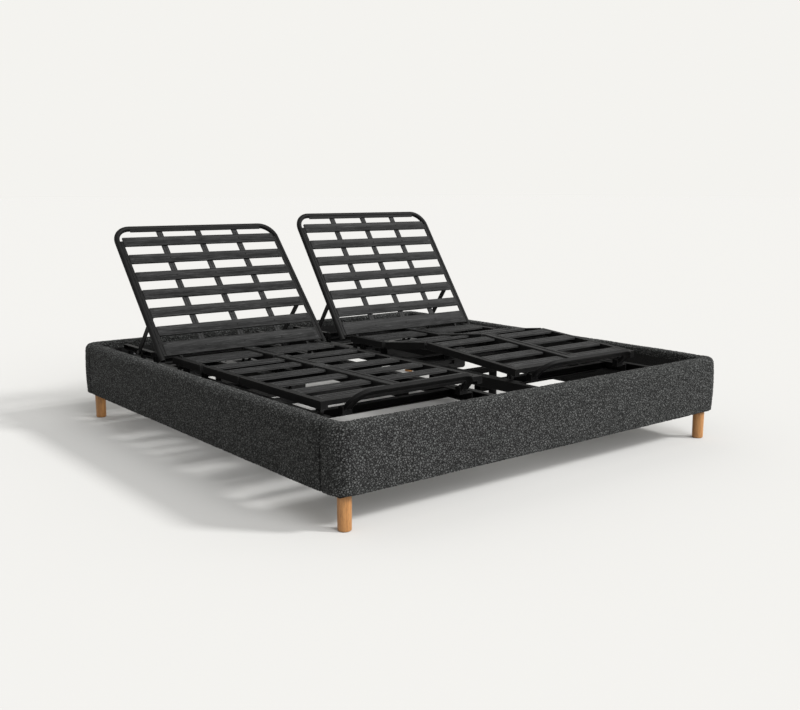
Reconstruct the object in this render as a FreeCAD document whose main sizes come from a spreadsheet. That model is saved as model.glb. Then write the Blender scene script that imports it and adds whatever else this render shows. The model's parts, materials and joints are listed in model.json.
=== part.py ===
import FreeCAD, Part
import os
import re
import Sketcher
from FreeCAD import Placement, Rotation, Vector

# Adjustable bed base: one upholstered surround with two powered lifting decks side by side.
# Millimetres. Origin on the floor at the middle of the base, +X to the right seen from the
# foot, +Y towards the head, +Z up. "u" is the distance from the middle plane of one deck.

doc = FreeCAD.newDocument("adjustable_bed_base")
dims = doc.addObject("Spreadsheet::Sheet", "dims")

SIZES = [
    # surround
    ("outer_width", 2040), ("outer_length", 2140), ("hem_height", 128), ("rail_height", 234),
    ("cover_outer", 22), ("cover_inner", 10), ("cover_top", 20), ("board_thick", 25),
    ("corner_radius", 68), ("cover_return", 100), ("cover_edge", 13),
    ("leg_top_radius", 24.5), ("leg_foot_radius", 23.5), ("leg_edge", 5), ("leg_shift", 4),
    ("bracket_arm", 120), ("bracket_tall", 200), ("bracket_plate", 3),
    ("leg_plate_half", 34), ("leg_plate_thick", 6),
    ("bolt_radius", 4), ("bolt_head_radius", 8), ("bolt_head", 5), ("bolt_length", 33),
    ("bolt_hole_radius", 4.3), ("bolt_inset", 945), ("bolt_low", 62), ("bolt_high", 172),
    ("frame_bolt_height", 290), ("frame_lug", 300), ("frame_lug_half", 20), ("frame_lug_rise", 18),
    # where the two decks stand, and how far each is lifted
    ("deck_centre", 485), ("hinge_height", 342), ("hinge_home", 250), ("slide_rate", 200),
    ("left_back_angle", 49), ("right_back_angle", 55),
    ("left_thigh_angle", 0), ("right_thigh_angle", 7), ("knee_rate", 0.6),
    # deck
    ("deck_half", 380), ("deck_tube", 24), ("deck_drop", 6), ("deck_rise", 24),
    ("seat_length", 290), ("thigh_length", 310), ("shin_length", 570),
    ("slat_width", 66), ("seat_plate_width", 128), ("slat_depth", 12), ("slat_fold", 9),
    ("slat_wall", 2), ("end_low", 6),
    ("spine_half", 28), ("spine_proud", 3), ("spine_drop", 10), ("bar_width", 24), ("bar_inset", 16),
    ("seat_gap_head", 16), ("seat_gap_foot", 14), ("thigh_gap", 10), ("knee_gap", 6),
    ("lug_radius", 13), ("lug_thick", 6), ("lug_reach", 40), ("drop_lug", 343), ("slide_lug", 338),
    ("pin_radius", 5), ("pin_fit", 0.06), ("pin_head_radius", 8), ("pin_head", 4.5), ("overrun", 1),
    # back section
    ("back_half", 435), ("back_length", 745), ("back_radius", 90), ("tube_radius", 12.5),
    ("tube_wall", 1.8), ("tube_lift", 11.5), ("lip_width", 13), ("lip_depth", 6),
    ("back_plate", 70), ("back_plate_start", 20), ("back_slat", 50), ("back_slat_pitch", 100),
    ("back_slat_first", 150), ("back_slat_low", 15), ("back_slat_high", 24),
    ("rib_width", 30), ("rib_thick", 6), ("rib_offset", 200), ("weld", 2),
    ("web_in", 324), ("web_reach", 55), ("web_drop", 4), ("bridge_start", 38), ("bridge_width", 18),
    ("bridge_low", 8), ("barrel_wall", 3),
    # struts that hold the back
    ("strut_length", 250), ("strut_in", 380), ("strut_thick", 6), ("strut_half", 12),
    ("strut_lug", 388), ("strut_lug_half", 11),
    ("track_in", 350), ("track_out", 372), ("track_half", 12), ("track_wall", 2),
    ("track_start", 220), ("track_end", 530), ("glide_radius", 9.6),
    # carriage and base frame
    ("base_in", 352), ("base_low", 260), ("base_high", 304), ("base_wall", 3), ("base_end", 1000),
    ("cross_low", 236), ("cross_width", 40), ("cross_wall", 2),
    ("carriage_in", 324), ("carriage_out", 348), ("carriage_low", 264), ("carriage_high", 302),
    ("carriage_foot", 1150), ("carriage_wall", 3), ("member_half", 15), ("post_in", 330),
    ("shelf_thick", 4), ("slide_glide_half", 30), ("slide_fit", 0.8), ("hinge_lug_half", 14),
    ("mid_leg_radius", 19), ("mid_leg_wall", 2), ("mid_foot_radius", 30), ("mid_foot", 6),
    # leg section glides and mattress retainer
    ("glide_reach", 500), ("shin_glide_radius", 12), ("shin_glide_drop", 27.5), ("stirrup_half", 15),
    ("shank_half", 10), ("retainer_half", 275), ("retainer_length", 102), ("retainer_bend", 62),
    ("retainer_wide", 17), ("retainer_thin", 8), ("retainer_edge", 4), ("retainer_wall", 2),
    ("retainer_tilt", 135.4), ("retainer_start", 566), ("retainer_drop", 24),
    ("clamp_half_width", 20), ("clamp_half_length", 14), ("clamp_drop", 11),
    # drive
    ("drive_half", 96), ("drive_low", 200), ("drive_high", 300), ("drive_head", 90),
    ("drive_foot", 60), ("drive_edge", 14), ("pocket_half", 42), ("pocket_floor", 222),
    ("lever_length", 100), ("lever_half", 7), ("lever_in", 14), ("lever_out", 20), ("roller_radius", 10),
    ("back_lever_lead", 31), ("thigh_lever_lead", 17.5),
    ("block_half", 38), ("block_low", 228), ("block_high", 256), ("block_length", 35),
    ("push_gap", 1.5), ("collar_half", 16), ("collar_length", 4), ("collar_rise", 6),
    ("inlet_half", 16), ("inlet_depth", 12), ("inlet_low", 228), ("inlet_high", 248),
    ("vent_depth", 3), ("vent_half", 3), ("vent_low", 214), ("vent_high", 256),
]

# rows of equal pieces along a deck: distances in millimetres from the origin or from the back hinge
CROSS_MEMBERS = (-980, -800, -500, -200, 700, 850, 980)
MID_LEGS = (-200, 700)
SLIDE_MEMBERS = (-1030, -405, 145, 515)
SEAT_POSTS = (-235, -65)
TRACK_POSTS = (235, 375, 515)
SLIDE_GLIDES = (-1100, -500, 0, 480)
SEAT_ROWS = (-130,)
THIGH_ROWS = (-54, -186)
LEG_ROWS = (-52, -206, -360, -504)
BACK_POCKET = ("0 - 104", "70")
THIGH_POCKET = ("0 - seat_length - 46", "82 - seat_length")
VENTS = range(-190, -110, 14)
BACK_SLATS = 6

for row, (alias, value) in enumerate(SIZES, start=1):
    dims.set(f"A{row}", alias)
    dims.set(f"B{row}", str(value))
    dims.setAlias(f"B{row}", alias)
doc.recompute()

ALIASES = {alias for alias, _ in SIZES}
nodes = []


def named(text):
    """An expression with every known alias pointed at the spreadsheet."""
    words = re.split(r"(\w+)", str(text))
    return "".join(f"dims.{word}" if word in ALIASES else word for word in words)


def negative(text):
    return f"0 - ( {text} )"


def difference(high, low):
    return f"( {high} ) - ( {low} )"


def total(first, second):
    return f"( {first} ) + ( {second} )"


# ---------------------------------------------------------------- primitives

def box(name, x, y, z):
    """A box between the low and high expressions of each axis."""
    block = doc.addObject("Part::Box", name)
    for axis, size, (low, high) in zip("xyz", ("Length", "Width", "Height"), (x, y, z)):
        block.setExpression(size, named(difference(high, low)))
        block.setExpression(f"Placement.Base.{axis}", named(low))
    return block


def rod(name, x, centre, radius):
    """A round bar along X, centred on (y, z)."""
    bar = doc.addObject("Part::Cylinder", name)
    bar.Placement = Placement(Vector(), Rotation(Vector(0, 1, 0), 90))
    bar.setExpression("Radius", named(radius))
    bar.setExpression("Height", named(difference(x[1], x[0])))
    for axis, place in zip("xyz", (x[0], centre[0], centre[1])):
        bar.setExpression(f"Placement.Base.{axis}", named(place))
    return bar


def post(name, centre, z, radius):
    """A round bar along Z, centred on (x, y)."""
    bar = doc.addObject("Part::Cylinder", name)
    bar.setExpression("Radius", named(radius))
    bar.setExpression("Height", named(difference(z[1], z[0])))
    for axis, place in zip("xyz", (centre[0], centre[1], z[0])):
        bar.setExpression(f"Placement.Base.{axis}", named(place))
    return bar


def pair(make, name, u, *sizes):
    """The same piece on both sides of the deck's middle plane."""
    low, high = u
    return [make(f"{name}_a", (low, high), *sizes),
            make(f"{name}_b", (negative(high), negative(low)), *sizes)]


def fuse(name, shapes):
    if len(shapes) == 1:
        return shapes[0]
    joined = doc.addObject("Part::MultiFuse", name)
    joined.Shapes = shapes
    joined.Refine = True
    return joined


def cut(name, base, tools):
    result = doc.addObject("Part::Cut", name)
    result.Base = base
    result.Tool = fuse(f"{name}_tool", tools)
    result.Refine = True
    return result


def group(name, shapes):
    """Several separate solids that make one node."""
    bundle = doc.addObject("Part::Compound", name)
    bundle.Links = shapes
    return bundle


def channel(name, x, y, z, wall):
    """A pressed channel, open at its underside."""
    low, high = z
    inside = box(f"{name}_inside", (total(x[0], wall), difference(x[1], wall)),
                 (total(y[0], wall), difference(y[1], wall)), (difference(low, wall),
                                                              difference(high, wall)))
    return cut(name, box(f"{name}_outside", x, y, z), [inside])


def place(item, x="0", y="0", z="0", tilt="0"):
    """Bind an item's place, and its turn about X in degrees."""
    item.Placement = Placement(Vector(), Rotation(Vector(1, 0, 0), 1))
    item.setExpression("Placement.Rotation.Angle", named(tilt))
    for axis, text in zip("xyz", (x, y, z)):
        item.setExpression(f"Placement.Base.{axis}", named(text))
    return item


def node(item, label):
    item.Label = label
    nodes.append(item)
    return item


# ---------------------------------------------------------------- sketched bodies

def plane(body, role):
    return next(part for part in body.Origin.OriginFeatures if part.Role == role)


def sketch_on(body, name, role, lift="0"):
    """A sketch on one of the body's own planes, lifted along the plane's normal."""
    sketch = body.newObject("Sketcher::SketchObject", name)
    sketch.AttachmentSupport = [(plane(body, role), "")]
    sketch.MapMode = "FlatFace"
    sketch.setExpression("AttachmentOffset.Base.z", named(lift))
    return sketch


def fix_point(sketch, geometry, point, x, y):
    """Dimension one point of the sketch from its origin."""
    for kind, text in (("DistanceX", x), ("DistanceY", y)):
        index = sketch.addConstraint(Sketcher.Constraint(kind, -1, 1, geometry, point, 1.0))
        sketch.setExpression(f"Constraints[{index}]", named(text))


def closed_outline(sketch, corners):
    """A closed outline of straight lines through corners given as expressions."""
    count, first = len(corners), sketch.GeometryCount
    guide = [Vector(index + 1, (index * index) % 7 + 1, 0) for index in range(count)]
    for index in range(count):
        sketch.addGeometry(Part.LineSegment(guide[index], guide[(index + 1) % count]), False)
    for index in range(count):
        link = Sketcher.Constraint("Coincident", first + index, 2, first + (index + 1) % count, 1)
        sketch.addConstraint(link)
    for index, (x, y) in enumerate(corners):
        fix_point(sketch, first + index, 1, x, y)


def hoop_path(sketch, half, length, radius):
    """A U-shaped path: two legs from the X axis and a crossbar, joined by round corners."""
    w, top, r = 100.0, 200.0, 20.0
    corner = Vector(0, 0, 1)
    sketch.addGeometry(Part.LineSegment(Vector(-w, 0, 0), Vector(-w, top - r, 0)), False)
    sketch.addGeometry(Part.ArcOfCircle(Part.Circle(Vector(r - w, top - r, 0), corner, r),
                                        1.5708, 3.1416), False)
    sketch.addGeometry(Part.LineSegment(Vector(r - w, top, 0), Vector(w - r, top, 0)), False)
    sketch.addGeometry(Part.ArcOfCircle(Part.Circle(Vector(w - r, top - r, 0), corner, r),
                                        0.0, 1.5708), False)
    sketch.addGeometry(Part.LineSegment(Vector(w, top - r, 0), Vector(w, 0, 0)), False)
    for first, first_end, second, second_end in ((0, 2, 1, 2), (1, 1, 2, 1), (2, 2, 3, 2), (3, 1, 4, 1)):
        sketch.addConstraint(Sketcher.Constraint("Tangent", first, first_end, second, second_end))
    for kind, line in (("Vertical", 0), ("Vertical", 4), ("Horizontal", 2)):
        sketch.addConstraint(Sketcher.Constraint(kind, line))
    sketch.addConstraint(Sketcher.Constraint("Equal", 1, 3))
    bend = sketch.addConstraint(Sketcher.Constraint("Radius", 1, r))
    sketch.setExpression(f"Constraints[{bend}]", named(radius))
    rise = sketch.addConstraint(Sketcher.Constraint("DistanceY", -1, 1, 2, 1, top))
    sketch.setExpression(f"Constraints[{rise}]", named(length))
    left = sketch.addConstraint(Sketcher.Constraint("DistanceX", 0, 1, -1, 1, w))
    right = sketch.addConstraint(Sketcher.Constraint("DistanceX", -1, 1, 4, 2, w))
    for index in (left, right):
        sketch.setExpression(f"Constraints[{index}]", named(half))
    for line, end in ((0, 1), (4, 2)):
        sketch.addConstraint(Sketcher.Constraint("PointOnObject", line, end, -1))


def swept(body, name, path, section):
    doc.recompute()
    pipe = body.newObject("PartDesign::AdditivePipe", f"{name}_pipe")
    pipe.Profile = section
    pipe.Spine = path
    return body


def round_hoop(name, half, length, bend, radius, wall, lift):
    """A bent round tube: both legs, the crossbar and the two bends in one pipe."""
    body = doc.addObject("PartDesign::Body", name)
    path = sketch_on(body, f"{name}_path", "XY_Plane", lift)
    hoop_path(path, half, length, bend)
    section = sketch_on(body, f"{name}_section", "XZ_Plane")
    for circle, size in enumerate((radius, difference(radius, wall))):
        section.addGeometry(Part.Circle(Vector(-100, 0, 0), Vector(0, 0, 1), 5 - circle), False)
        for kind, points, text in (("Radius", (circle,), size),
                                   ("DistanceX", (circle, 3, -1, 1), half),
                                   ("DistanceY", (-1, 1, circle, 3), lift)):
            index = section.addConstraint(Sketcher.Constraint(kind, *points, 5.0 - circle))
            section.setExpression(f"Constraints[{index}]", named(text))
    return swept(body, name, path, section)


def flat_hoop(name, half, length, bend, wide, thin, edge, wall):
    """A bent flat tube, wide in the plane of the hoop, with chamfered edges."""
    body = doc.addObject("PartDesign::Body", name)
    path = sketch_on(body, f"{name}_path", "XY_Plane")
    hoop_path(path, half, length, bend)
    section = sketch_on(body, f"{name}_section", "XZ_Plane")
    for inset in ("0", wall):
        w, t, e = (f"( {difference(size, inset)} )" for size in (wide, thin, edge))
        corners = ((f"{w} - {e}", negative(t)), (w, f"{e} - {t}"), (w, f"{t} - {e}"), (f"{w} - {e}", t),
                   (f"{e} - {w}", t), (negative(w), f"{t} - {e}"), (negative(w), f"{e} - {t}"),
                   (f"{e} - {w}", negative(t)))
        closed_outline(section, [(f"{x} - {half}", z) for x, z in corners])
    return swept(body, name, path, section)


def padded_body(name, corners, low, high):
    """A body padded up from a straight-sided outline."""
    body = doc.addObject("PartDesign::Body", name)
    outline = sketch_on(body, f"{name}_outline", "XY_Plane", low)
    closed_outline(outline, corners)
    pad = body.newObject("PartDesign::Pad", f"{name}_pad")
    pad.Profile = outline
    pad.setExpression("Length", named(difference(high, low)))
    doc.recompute()
    return body, pad


def pocket_up(body, name, corners, low, high):
    """A pocket cut upwards from one height to another."""
    before = body.Shape.Volume
    outline = sketch_on(body, f"{name}_outline", "XY_Plane", low)
    closed_outline(outline, corners)
    hole = body.newObject("PartDesign::Pocket", name)
    hole.Profile = outline
    hole.Reversed = True
    hole.setExpression("Length", named(difference(high, low)))
    doc.recompute()
    if not body.Shape.Volume < before:
        raise RuntimeError(f"{name} cuts nothing")
    return hole


def round_edges(body, feature, name, radius, wanted):
    """Fillet the edges of a feature that pass the wanted test."""
    edges = [f"Edge{index}" for index, edge in enumerate(feature.Shape.Edges, start=1)
             if wanted(edge)]
    fillet = body.newObject("PartDesign::Fillet", name)
    fillet.Base = (feature, edges)
    fillet.setExpression("Radius", named(radius))
    doc.recompute()
    return fillet


# ---------------------------------------------------------------- surround

HALF_X = "outer_width / 2"
HALF_Y = "outer_length / 2"
RAIL = "( cover_outer + board_thick + cover_inner )"
INNER_X = f"{HALF_X} - {RAIL}"
INNER_Y = f"{HALF_Y} - {RAIL}"
CORE_X = f"{HALF_X} - cover_outer"
CORE_Y = f"{HALF_Y} - cover_outer"
CORE_TOP = "hem_height + rail_height - cover_top"
RAIL_TOP = "hem_height + rail_height"
SEAM_Y = f"{HALF_Y} - cover_return"
BOLT_HEIGHTS = ("hem_height + bolt_low", "hem_height + bolt_high")
FRAME_LUGS = ("0 - frame_lug", "frame_lug")
FOOT_BOLT_INSET = f"{INNER_X} - ( {INNER_Y} ) + bolt_inset"


def across_holes(name, ends):
    """Bolt holes along X at one corner, through a side rail: ends gives (x range, y)."""
    return [rod(f"{name}_{index}_{level}", span, (y, z), "bolt_hole_radius")
            for index, (span, y) in enumerate(ends)
            for level, z in enumerate(BOLT_HEIGHTS)]


def along_rod(name, y, centre, radius):
    """A round bar along Y, centred on (x, z)."""
    bar = doc.addObject("Part::Cylinder", name)
    bar.Placement = Placement(Vector(), Rotation(Vector(1, 0, 0), -90))
    bar.setExpression("Radius", named(radius))
    bar.setExpression("Height", named(difference(y[1], y[0])))
    for axis, text in zip("xyz", (centre[0], y[0], centre[1])):
        bar.setExpression(f"Placement.Base.{axis}", named(text))
    return bar


def end_holes(name, y):
    """Bolt holes along Y through an end rail, for its two corners and for both lift frames."""
    holes = []
    for side, x in (("left", negative(FOOT_BOLT_INSET)), ("right", FOOT_BOLT_INSET)):
        for level, z in enumerate(BOLT_HEIGHTS):
            holes.append(along_rod(f"{name}_{side}_{level}", y, (x, z), "bolt_hole_radius"))
    for deck in ("0 - deck_centre", "deck_centre"):
        for lug in FRAME_LUGS:
            x = total(deck, lug)
            holes.append(along_rod(f"{name}_lug", y, (x, "frame_bolt_height"), "bolt_hole_radius"))
    return holes


def side_rail(side, sign):
    """Board and padded cover of a side rail; sign is -1 on the left, 1 on the right."""
    def span(low, high):
        return (low, high) if sign > 0 else (negative(high), negative(low))

    core_x = span(f"{CORE_X} - board_thick", CORE_X)
    core_y = (f"0 - ( {CORE_Y} - board_thick )", f"{CORE_Y} - board_thick")
    hole_x = span(f"{INNER_X} - 1", f"{CORE_X} + 1")
    ends = [(hole_x, "0 - bolt_inset"), (hole_x, "bolt_inset")]
    board = box(f"{side}_board", core_x, core_y, ("hem_height", CORE_TOP))
    node(cut(f"{side}_rail_core", board, across_holes(f"{side}_core_hole", ends)),
         f"{side}_rail_core")

    x_low, x_high = span(INNER_X, HALF_X)
    y_low, y_high = negative(SEAM_Y), SEAM_Y
    corners = [(x_low, y_low), (x_high, y_low), (x_high, y_high), (x_low, y_high)]
    body, pad = padded_body(f"{side}_cover_body", corners, "hem_height", RAIL_TOP)
    slot = [(core_x[0], y_low), (core_x[1], y_low), (core_x[1], y_high), (core_x[0], y_high)]
    pocket = pocket_up(body, f"{side}_cover_slot", slot, "hem_height", CORE_TOP)
    top = pad.Shape.BoundBox.ZMax
    round_edges(body, pocket, f"{side}_cover_round", "cover_edge",
                lambda edge: edge.BoundBox.ZMin > top - 1 and edge.BoundBox.YLength > 500)
    lining = across_holes(f"{side}_cover_hole", ends)
    node(cut(f"{side}_rail_cover", body, lining), f"{side}_rail_cover")


def end_rail(end, sign):
    """Board and wrap-round cover of the foot rail (sign -1) or the head rail (sign 1)."""
    def span(low, high):
        return (low, high) if sign > 0 else (negative(high), negative(low))

    def at(y):
        return y if sign > 0 else negative(y)

    core_y = span(f"{CORE_Y} - board_thick", CORE_Y)
    board = box(f"{end}_board", (negative(CORE_X), CORE_X), core_y, ("hem_height", CORE_TOP))
    hole_y = span(f"{INNER_Y} - 1", f"{CORE_Y} + 1")
    node(cut(f"{end}_rail_core", board, end_holes(f"{end}_core_hole", hole_y)),
         f"{end}_rail_core")

    left, right = negative(HALF_X), HALF_X
    corners = [(left, at(SEAM_Y)), (left, at(HALF_Y)), (right, at(HALF_Y)), (right, at(SEAM_Y)),
               (INNER_X, at(SEAM_Y)), (INNER_X, at(INNER_Y)), (negative(INNER_X), at(INNER_Y)),
               (negative(INNER_X), at(SEAM_Y))]
    body, pad = padded_body(f"{end}_cover_body", corners, "hem_height", RAIL_TOP)
    wide = pad.Shape.BoundBox
    outer_y = wide.YMin if sign < 0 else wide.YMax
    round_edges(body, pad, f"{end}_cover_corners", "corner_radius",
                lambda edge: edge.BoundBox.ZLength > 1 and abs(edge.BoundBox.YMin - outer_y) < 1)
    deep = f"{CORE_X} - board_thick"
    slot = [(negative(CORE_X), at(SEAM_Y)), (negative(CORE_X), at(CORE_Y)), (CORE_X, at(CORE_Y)),
            (CORE_X, at(SEAM_Y)), (deep, at(SEAM_Y)), (deep, at(f"{CORE_Y} - board_thick")),
            (negative(deep), at(f"{CORE_Y} - board_thick")), (negative(deep), at(SEAM_Y))]
    pocket = pocket_up(body, f"{end}_cover_slot", slot, "hem_height", CORE_TOP)
    seam_y = wide.YMax if sign < 0 else wide.YMin

    def along_the_top(edge):
        low = edge.BoundBox
        return low.ZMin > wide.ZMax - 1 and not (low.YLength < 1 and abs(low.YMin - seam_y) < 1)

    round_edges(body, pocket, f"{end}_cover_round", "cover_edge", along_the_top)
    lining = end_holes(f"{end}_cover_hole", hole_y)
    node(cut(f"{end}_rail_cover", body, lining), f"{end}_rail_cover")


def wooden_leg(label, x, y):
    """A turned leg, tapered, with a rounded foot."""
    body = doc.addObject("PartDesign::Body", f"{label}_body")
    profile = sketch_on(body, f"{label}_profile", "XZ_Plane")
    top = "hem_height - leg_plate_thick"
    closed_outline(profile, [("0", "0"), ("leg_foot_radius", "0"), ("leg_top_radius", top), ("0", top)])
    turned = body.newObject("PartDesign::Revolution", f"{label}_turned")
    turned.Profile = profile
    turned.ReferenceAxis = (profile, ["V_Axis"])
    turned.Angle = 360
    doc.recompute()
    round_edges(body, turned, f"{label}_round", "leg_edge",
                lambda edge: edge.BoundBox.ZMax < 1 and edge.BoundBox.XLength > 1 and edge.Closed)
    place(body, x, y)
    return node(body, label)


def corner_bracket(name):
    """A steel angle for one inside corner, with the plate that the leg screws to."""
    arm = ("0", "bracket_arm")
    web = ("0", "bracket_plate")
    tall = ("hem_height", "hem_height + bracket_tall")
    plate = ("0 - leg_plate_half", "leg_plate_half")
    pieces = [box(f"{name}_arm_x", arm, web, tall), box(f"{name}_arm_y", web, arm, tall),
              box(f"{name}_plate", plate, plate, ("hem_height - leg_plate_thick", "hem_height")),
              box(f"{name}_root", web, web, ("hem_height - leg_plate_thick", "hem_height + overrun"))]
    from_corner = f"{INNER_Y} - bolt_inset"
    holes = []
    for level, z in enumerate(BOLT_HEIGHTS):
        holes.append(rod(f"{name}_hole_{level}", ("0 - 1", "bracket_plate + 1"), (from_corner, z),
                         "bolt_hole_radius"))
        holes.append(along_rod(f"{name}_slot_{level}", ("0 - 1", "bracket_plate + 1"),
                               (from_corner, z), "bolt_hole_radius"))
    return cut(name, fuse(f"{name}_steel", pieces), holes)


def turned_about_z(item, x, y, z, angle):
    item.Placement = Placement(Vector(), Rotation(Vector(0, 0, 1), angle))
    for axis, text in zip("xyz", (x, y, z)):
        item.setExpression(f"Placement.Base.{axis}", named(text))
    return item


def bolt(name, x, y, z, angle):
    """A bolt whose shank runs along +X before it is turned."""
    pieces = [rod(f"{name}_shank", ("0", "bolt_length"), ("0", "0"), "bolt_radius"),
              rod(f"{name}_head", ("0 - bolt_head", "0"), ("0", "0"), "bolt_head_radius")]
    return turned_about_z(fuse(name, pieces), x, y, z, angle)


def surround():
    for end, sign in (("foot", -1), ("head", 1)):
        end_rail(end, sign)
    for side, sign in (("left", -1), ("right", 1)):
        side_rail(side, sign)

    leg_x, leg_y = f"{INNER_X} - leg_shift", f"{INNER_Y} + leg_shift"
    corners = (("foot_left", -1, -1, 0), ("foot_right", 1, -1, 90),
               ("head_right", 1, 1, 180), ("head_left", -1, 1, 270))
    brackets = []
    for name, x_sign, y_sign, angle in corners:
        wooden_leg(f"{name}_leg", leg_x if x_sign > 0 else negative(leg_x),
                   leg_y if y_sign > 0 else negative(leg_y))
        x = INNER_X if x_sign > 0 else negative(INNER_X)
        y = INNER_Y if y_sign > 0 else negative(INNER_Y)
        brackets.append(turned_about_z(corner_bracket(f"{name}_angle"), x, y, "0", angle))
    node(group("corner_brackets", brackets), "corner_brackets")
    node(group("rail_bolts", rail_bolts()), "rail_bolts")


def rail_bolts():
    bolts = []
    side_face = f"{INNER_X} - bracket_plate"
    end_face = f"{INNER_Y} - bracket_plate"
    for x_name, x_sign in (("left", -1), ("right", 1)):
        for y_name, y_sign in (("foot", -1), ("head", 1)):
            for level, z in enumerate(BOLT_HEIGHTS):
                name = f"bolt_{y_name}_{x_name}_{level}"
                x = side_face if x_sign > 0 else negative(side_face)
                y = "bolt_inset" if y_sign > 0 else "0 - bolt_inset"
                bolts.append(bolt(f"{name}_side", x, y, z, 0 if x_sign > 0 else 180))
                x = FOOT_BOLT_INSET if x_sign > 0 else negative(FOOT_BOLT_INSET)
                y = end_face if y_sign > 0 else negative(end_face)
                bolts.append(bolt(f"{name}_end", x, y, z, 90 if y_sign > 0 else 270))
    for y_sign, angle in ((-1, 270), (1, 90)):
        face = f"{INNER_Y} - lug_thick"
        y = face if y_sign > 0 else negative(face)
        for deck in ("0 - deck_centre", "deck_centre"):
            for lug in FRAME_LUGS:
                bolts.append(bolt("frame_bolt", total(deck, lug), y, "frame_bolt_height", angle))
    return bolts


# ---------------------------------------------------------------- lifting decks

DROP_LUG = ("drop_lug", "drop_lug + lug_thick")


def hole_pair(name, u, y="0", z="0"):
    return pair(rod, name, u, (y, z), "pin_radius + pin_fit")


def deck_rails(name, y, z=("0 - deck_drop", "deck_rise")):
    """The two side channels of one deck section, open at the underside."""
    u = ("deck_half - deck_tube", "deck_half")
    return [channel(f"{name}_{index}", span, y, z, "slat_wall") for index, span in
            enumerate((u, (negative(u[1]), negative(u[0]))))]


def crossbar(name, half, y):
    return box(name, (negative(half), half), y, ("0 - deck_drop", "deck_rise - slat_depth"))


def spine(name, y):
    return channel(name, ("0 - spine_half", "spine_half"), y, ("0 - spine_drop", "deck_rise + spine_proud"),
                   "slat_wall")


def lug(name, u, y):
    """A hinge plate round the axis: a disc and an arm along y."""
    plates = pair(rod, f"{name}_disc", u, ("0", "0"), "lug_radius")
    arm_z = ("0 - deck_drop", "deck_rise - slat_depth")
    plates += pair(box, f"{name}_arm", u, y, arm_z)
    return plates


def slats(name, centres, width="slat_width"):
    """Pressed slats either side of the spine, one row for each centre."""
    rows = []
    half_width = f"{width} / 2"
    for index, centre in enumerate(centres):
        y = (difference(centre, half_width), total(centre, half_width))
        for side, u in (("a", ("spine_half", "deck_half - deck_tube")),
                        ("b", ("deck_tube - deck_half", "0 - spine_half"))):
            rows.append(channel(f"{name}_{index}_{side}", u, y, ("deck_rise - slat_fold", "deck_rise"),
                                "slat_wall"))
    return group(name, rows)


def lever(name, lead):
    """Twin plates and a roller below a hinge axis, leaning by the lead angle when down."""
    plates = pair(box, f"{name}_plate", ("lever_in", "lever_out"), ("0 - lever_half", "lever_half"),
                  ("0 - lever_length", "0"))
    roller = rod(f"{name}_roller", ("0 - lever_out", "lever_out"), ("0", "0 - lever_length"),
                 "roller_radius")
    return place(fuse(name, plates + [roller]), tilt=lead)


def base_frame(side, deck_x):
    """Fixed channels and cross members, and the lugs that bolt to the end rails."""
    length = ("0 - base_end", "base_end")
    height = ("base_low", "base_high")
    u = ("base_in", "deck_half")
    hollow_u = ("base_in - 1", "deck_half - base_wall")
    hollow_z = ("base_low + base_wall", "base_high - base_wall")
    solids = pair(box, "base_channel", u, length, height)
    hollows = pair(box, "base_hollow", hollow_u, ("0 - base_end - 1", "base_end + 1"), hollow_z)
    channels = cut("base_channels", fuse("base_solid", solids), hollows)

    members = []
    inside = ("cross_low + cross_wall", "base_low - cross_wall")
    for index, y in enumerate(CROSS_MEMBERS):
        span = (f"{y} - cross_width / 2", f"{y} + cross_width / 2")
        member = box(f"cross_{index}", ("0 - deck_half", "deck_half"), span, ("cross_low", "base_low"))
        bore = (f"{y} - cross_width / 2 + cross_wall", f"{y} + cross_width / 2 - cross_wall")
        hollow = box(f"cross_bore_{index}", ("0 - deck_half - 1", "deck_half + 1"), bore, inside)
        members.append(cut(f"cross_tube_{index}", member, [hollow]))
    lugs = []
    holes = []
    for end in (-1, 1):
        near, far, face = "base_end - 1", INNER_Y, f"{INNER_Y} - lug_thick"
        foot = (near, far) if end > 0 else (negative(far), negative(near))
        plate = (face, far) if end > 0 else (negative(far), negative(face))
        lug_u = ("frame_lug - frame_lug_half", "frame_lug + frame_lug_half")
        lugs += pair(box, "lug_foot", lug_u, foot, ("cross_low", "base_low"))
        lugs += pair(box, "lug_plate", lug_u, plate, ("cross_low", "frame_bolt_height + frame_lug_rise"))
        for x in FRAME_LUGS:
            bore = (f"{face} - overrun", f"{far} + overrun")
            bore = bore if end > 0 else (negative(bore[1]), negative(bore[0]))
            holes.append(along_rod("lug_hole", bore, (x, "frame_bolt_height"), "bolt_hole_radius"))
    frame = cut("base_frame", fuse("base_steel", [channels] + members + lugs), holes)
    node(place(frame, deck_x), f"{side}_base_frame")

    feet = []
    for y in MID_LEGS:
        tube = post("mid_tube", ("0", y), ("0", "cross_low"), "mid_leg_radius")
        disc = post("mid_disc", ("0", y), ("0", "mid_foot"), "mid_foot_radius")
        bore = post("mid_bore", ("0", y), ("mid_foot", "cross_low + 1"), "mid_leg_radius - mid_leg_wall")
        feet.append(cut("mid_leg", fuse("mid_solid", [tube, disc]), [bore]))
    node(place(group("mid_legs", feet), deck_x), f"{side}_mid_legs")


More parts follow.
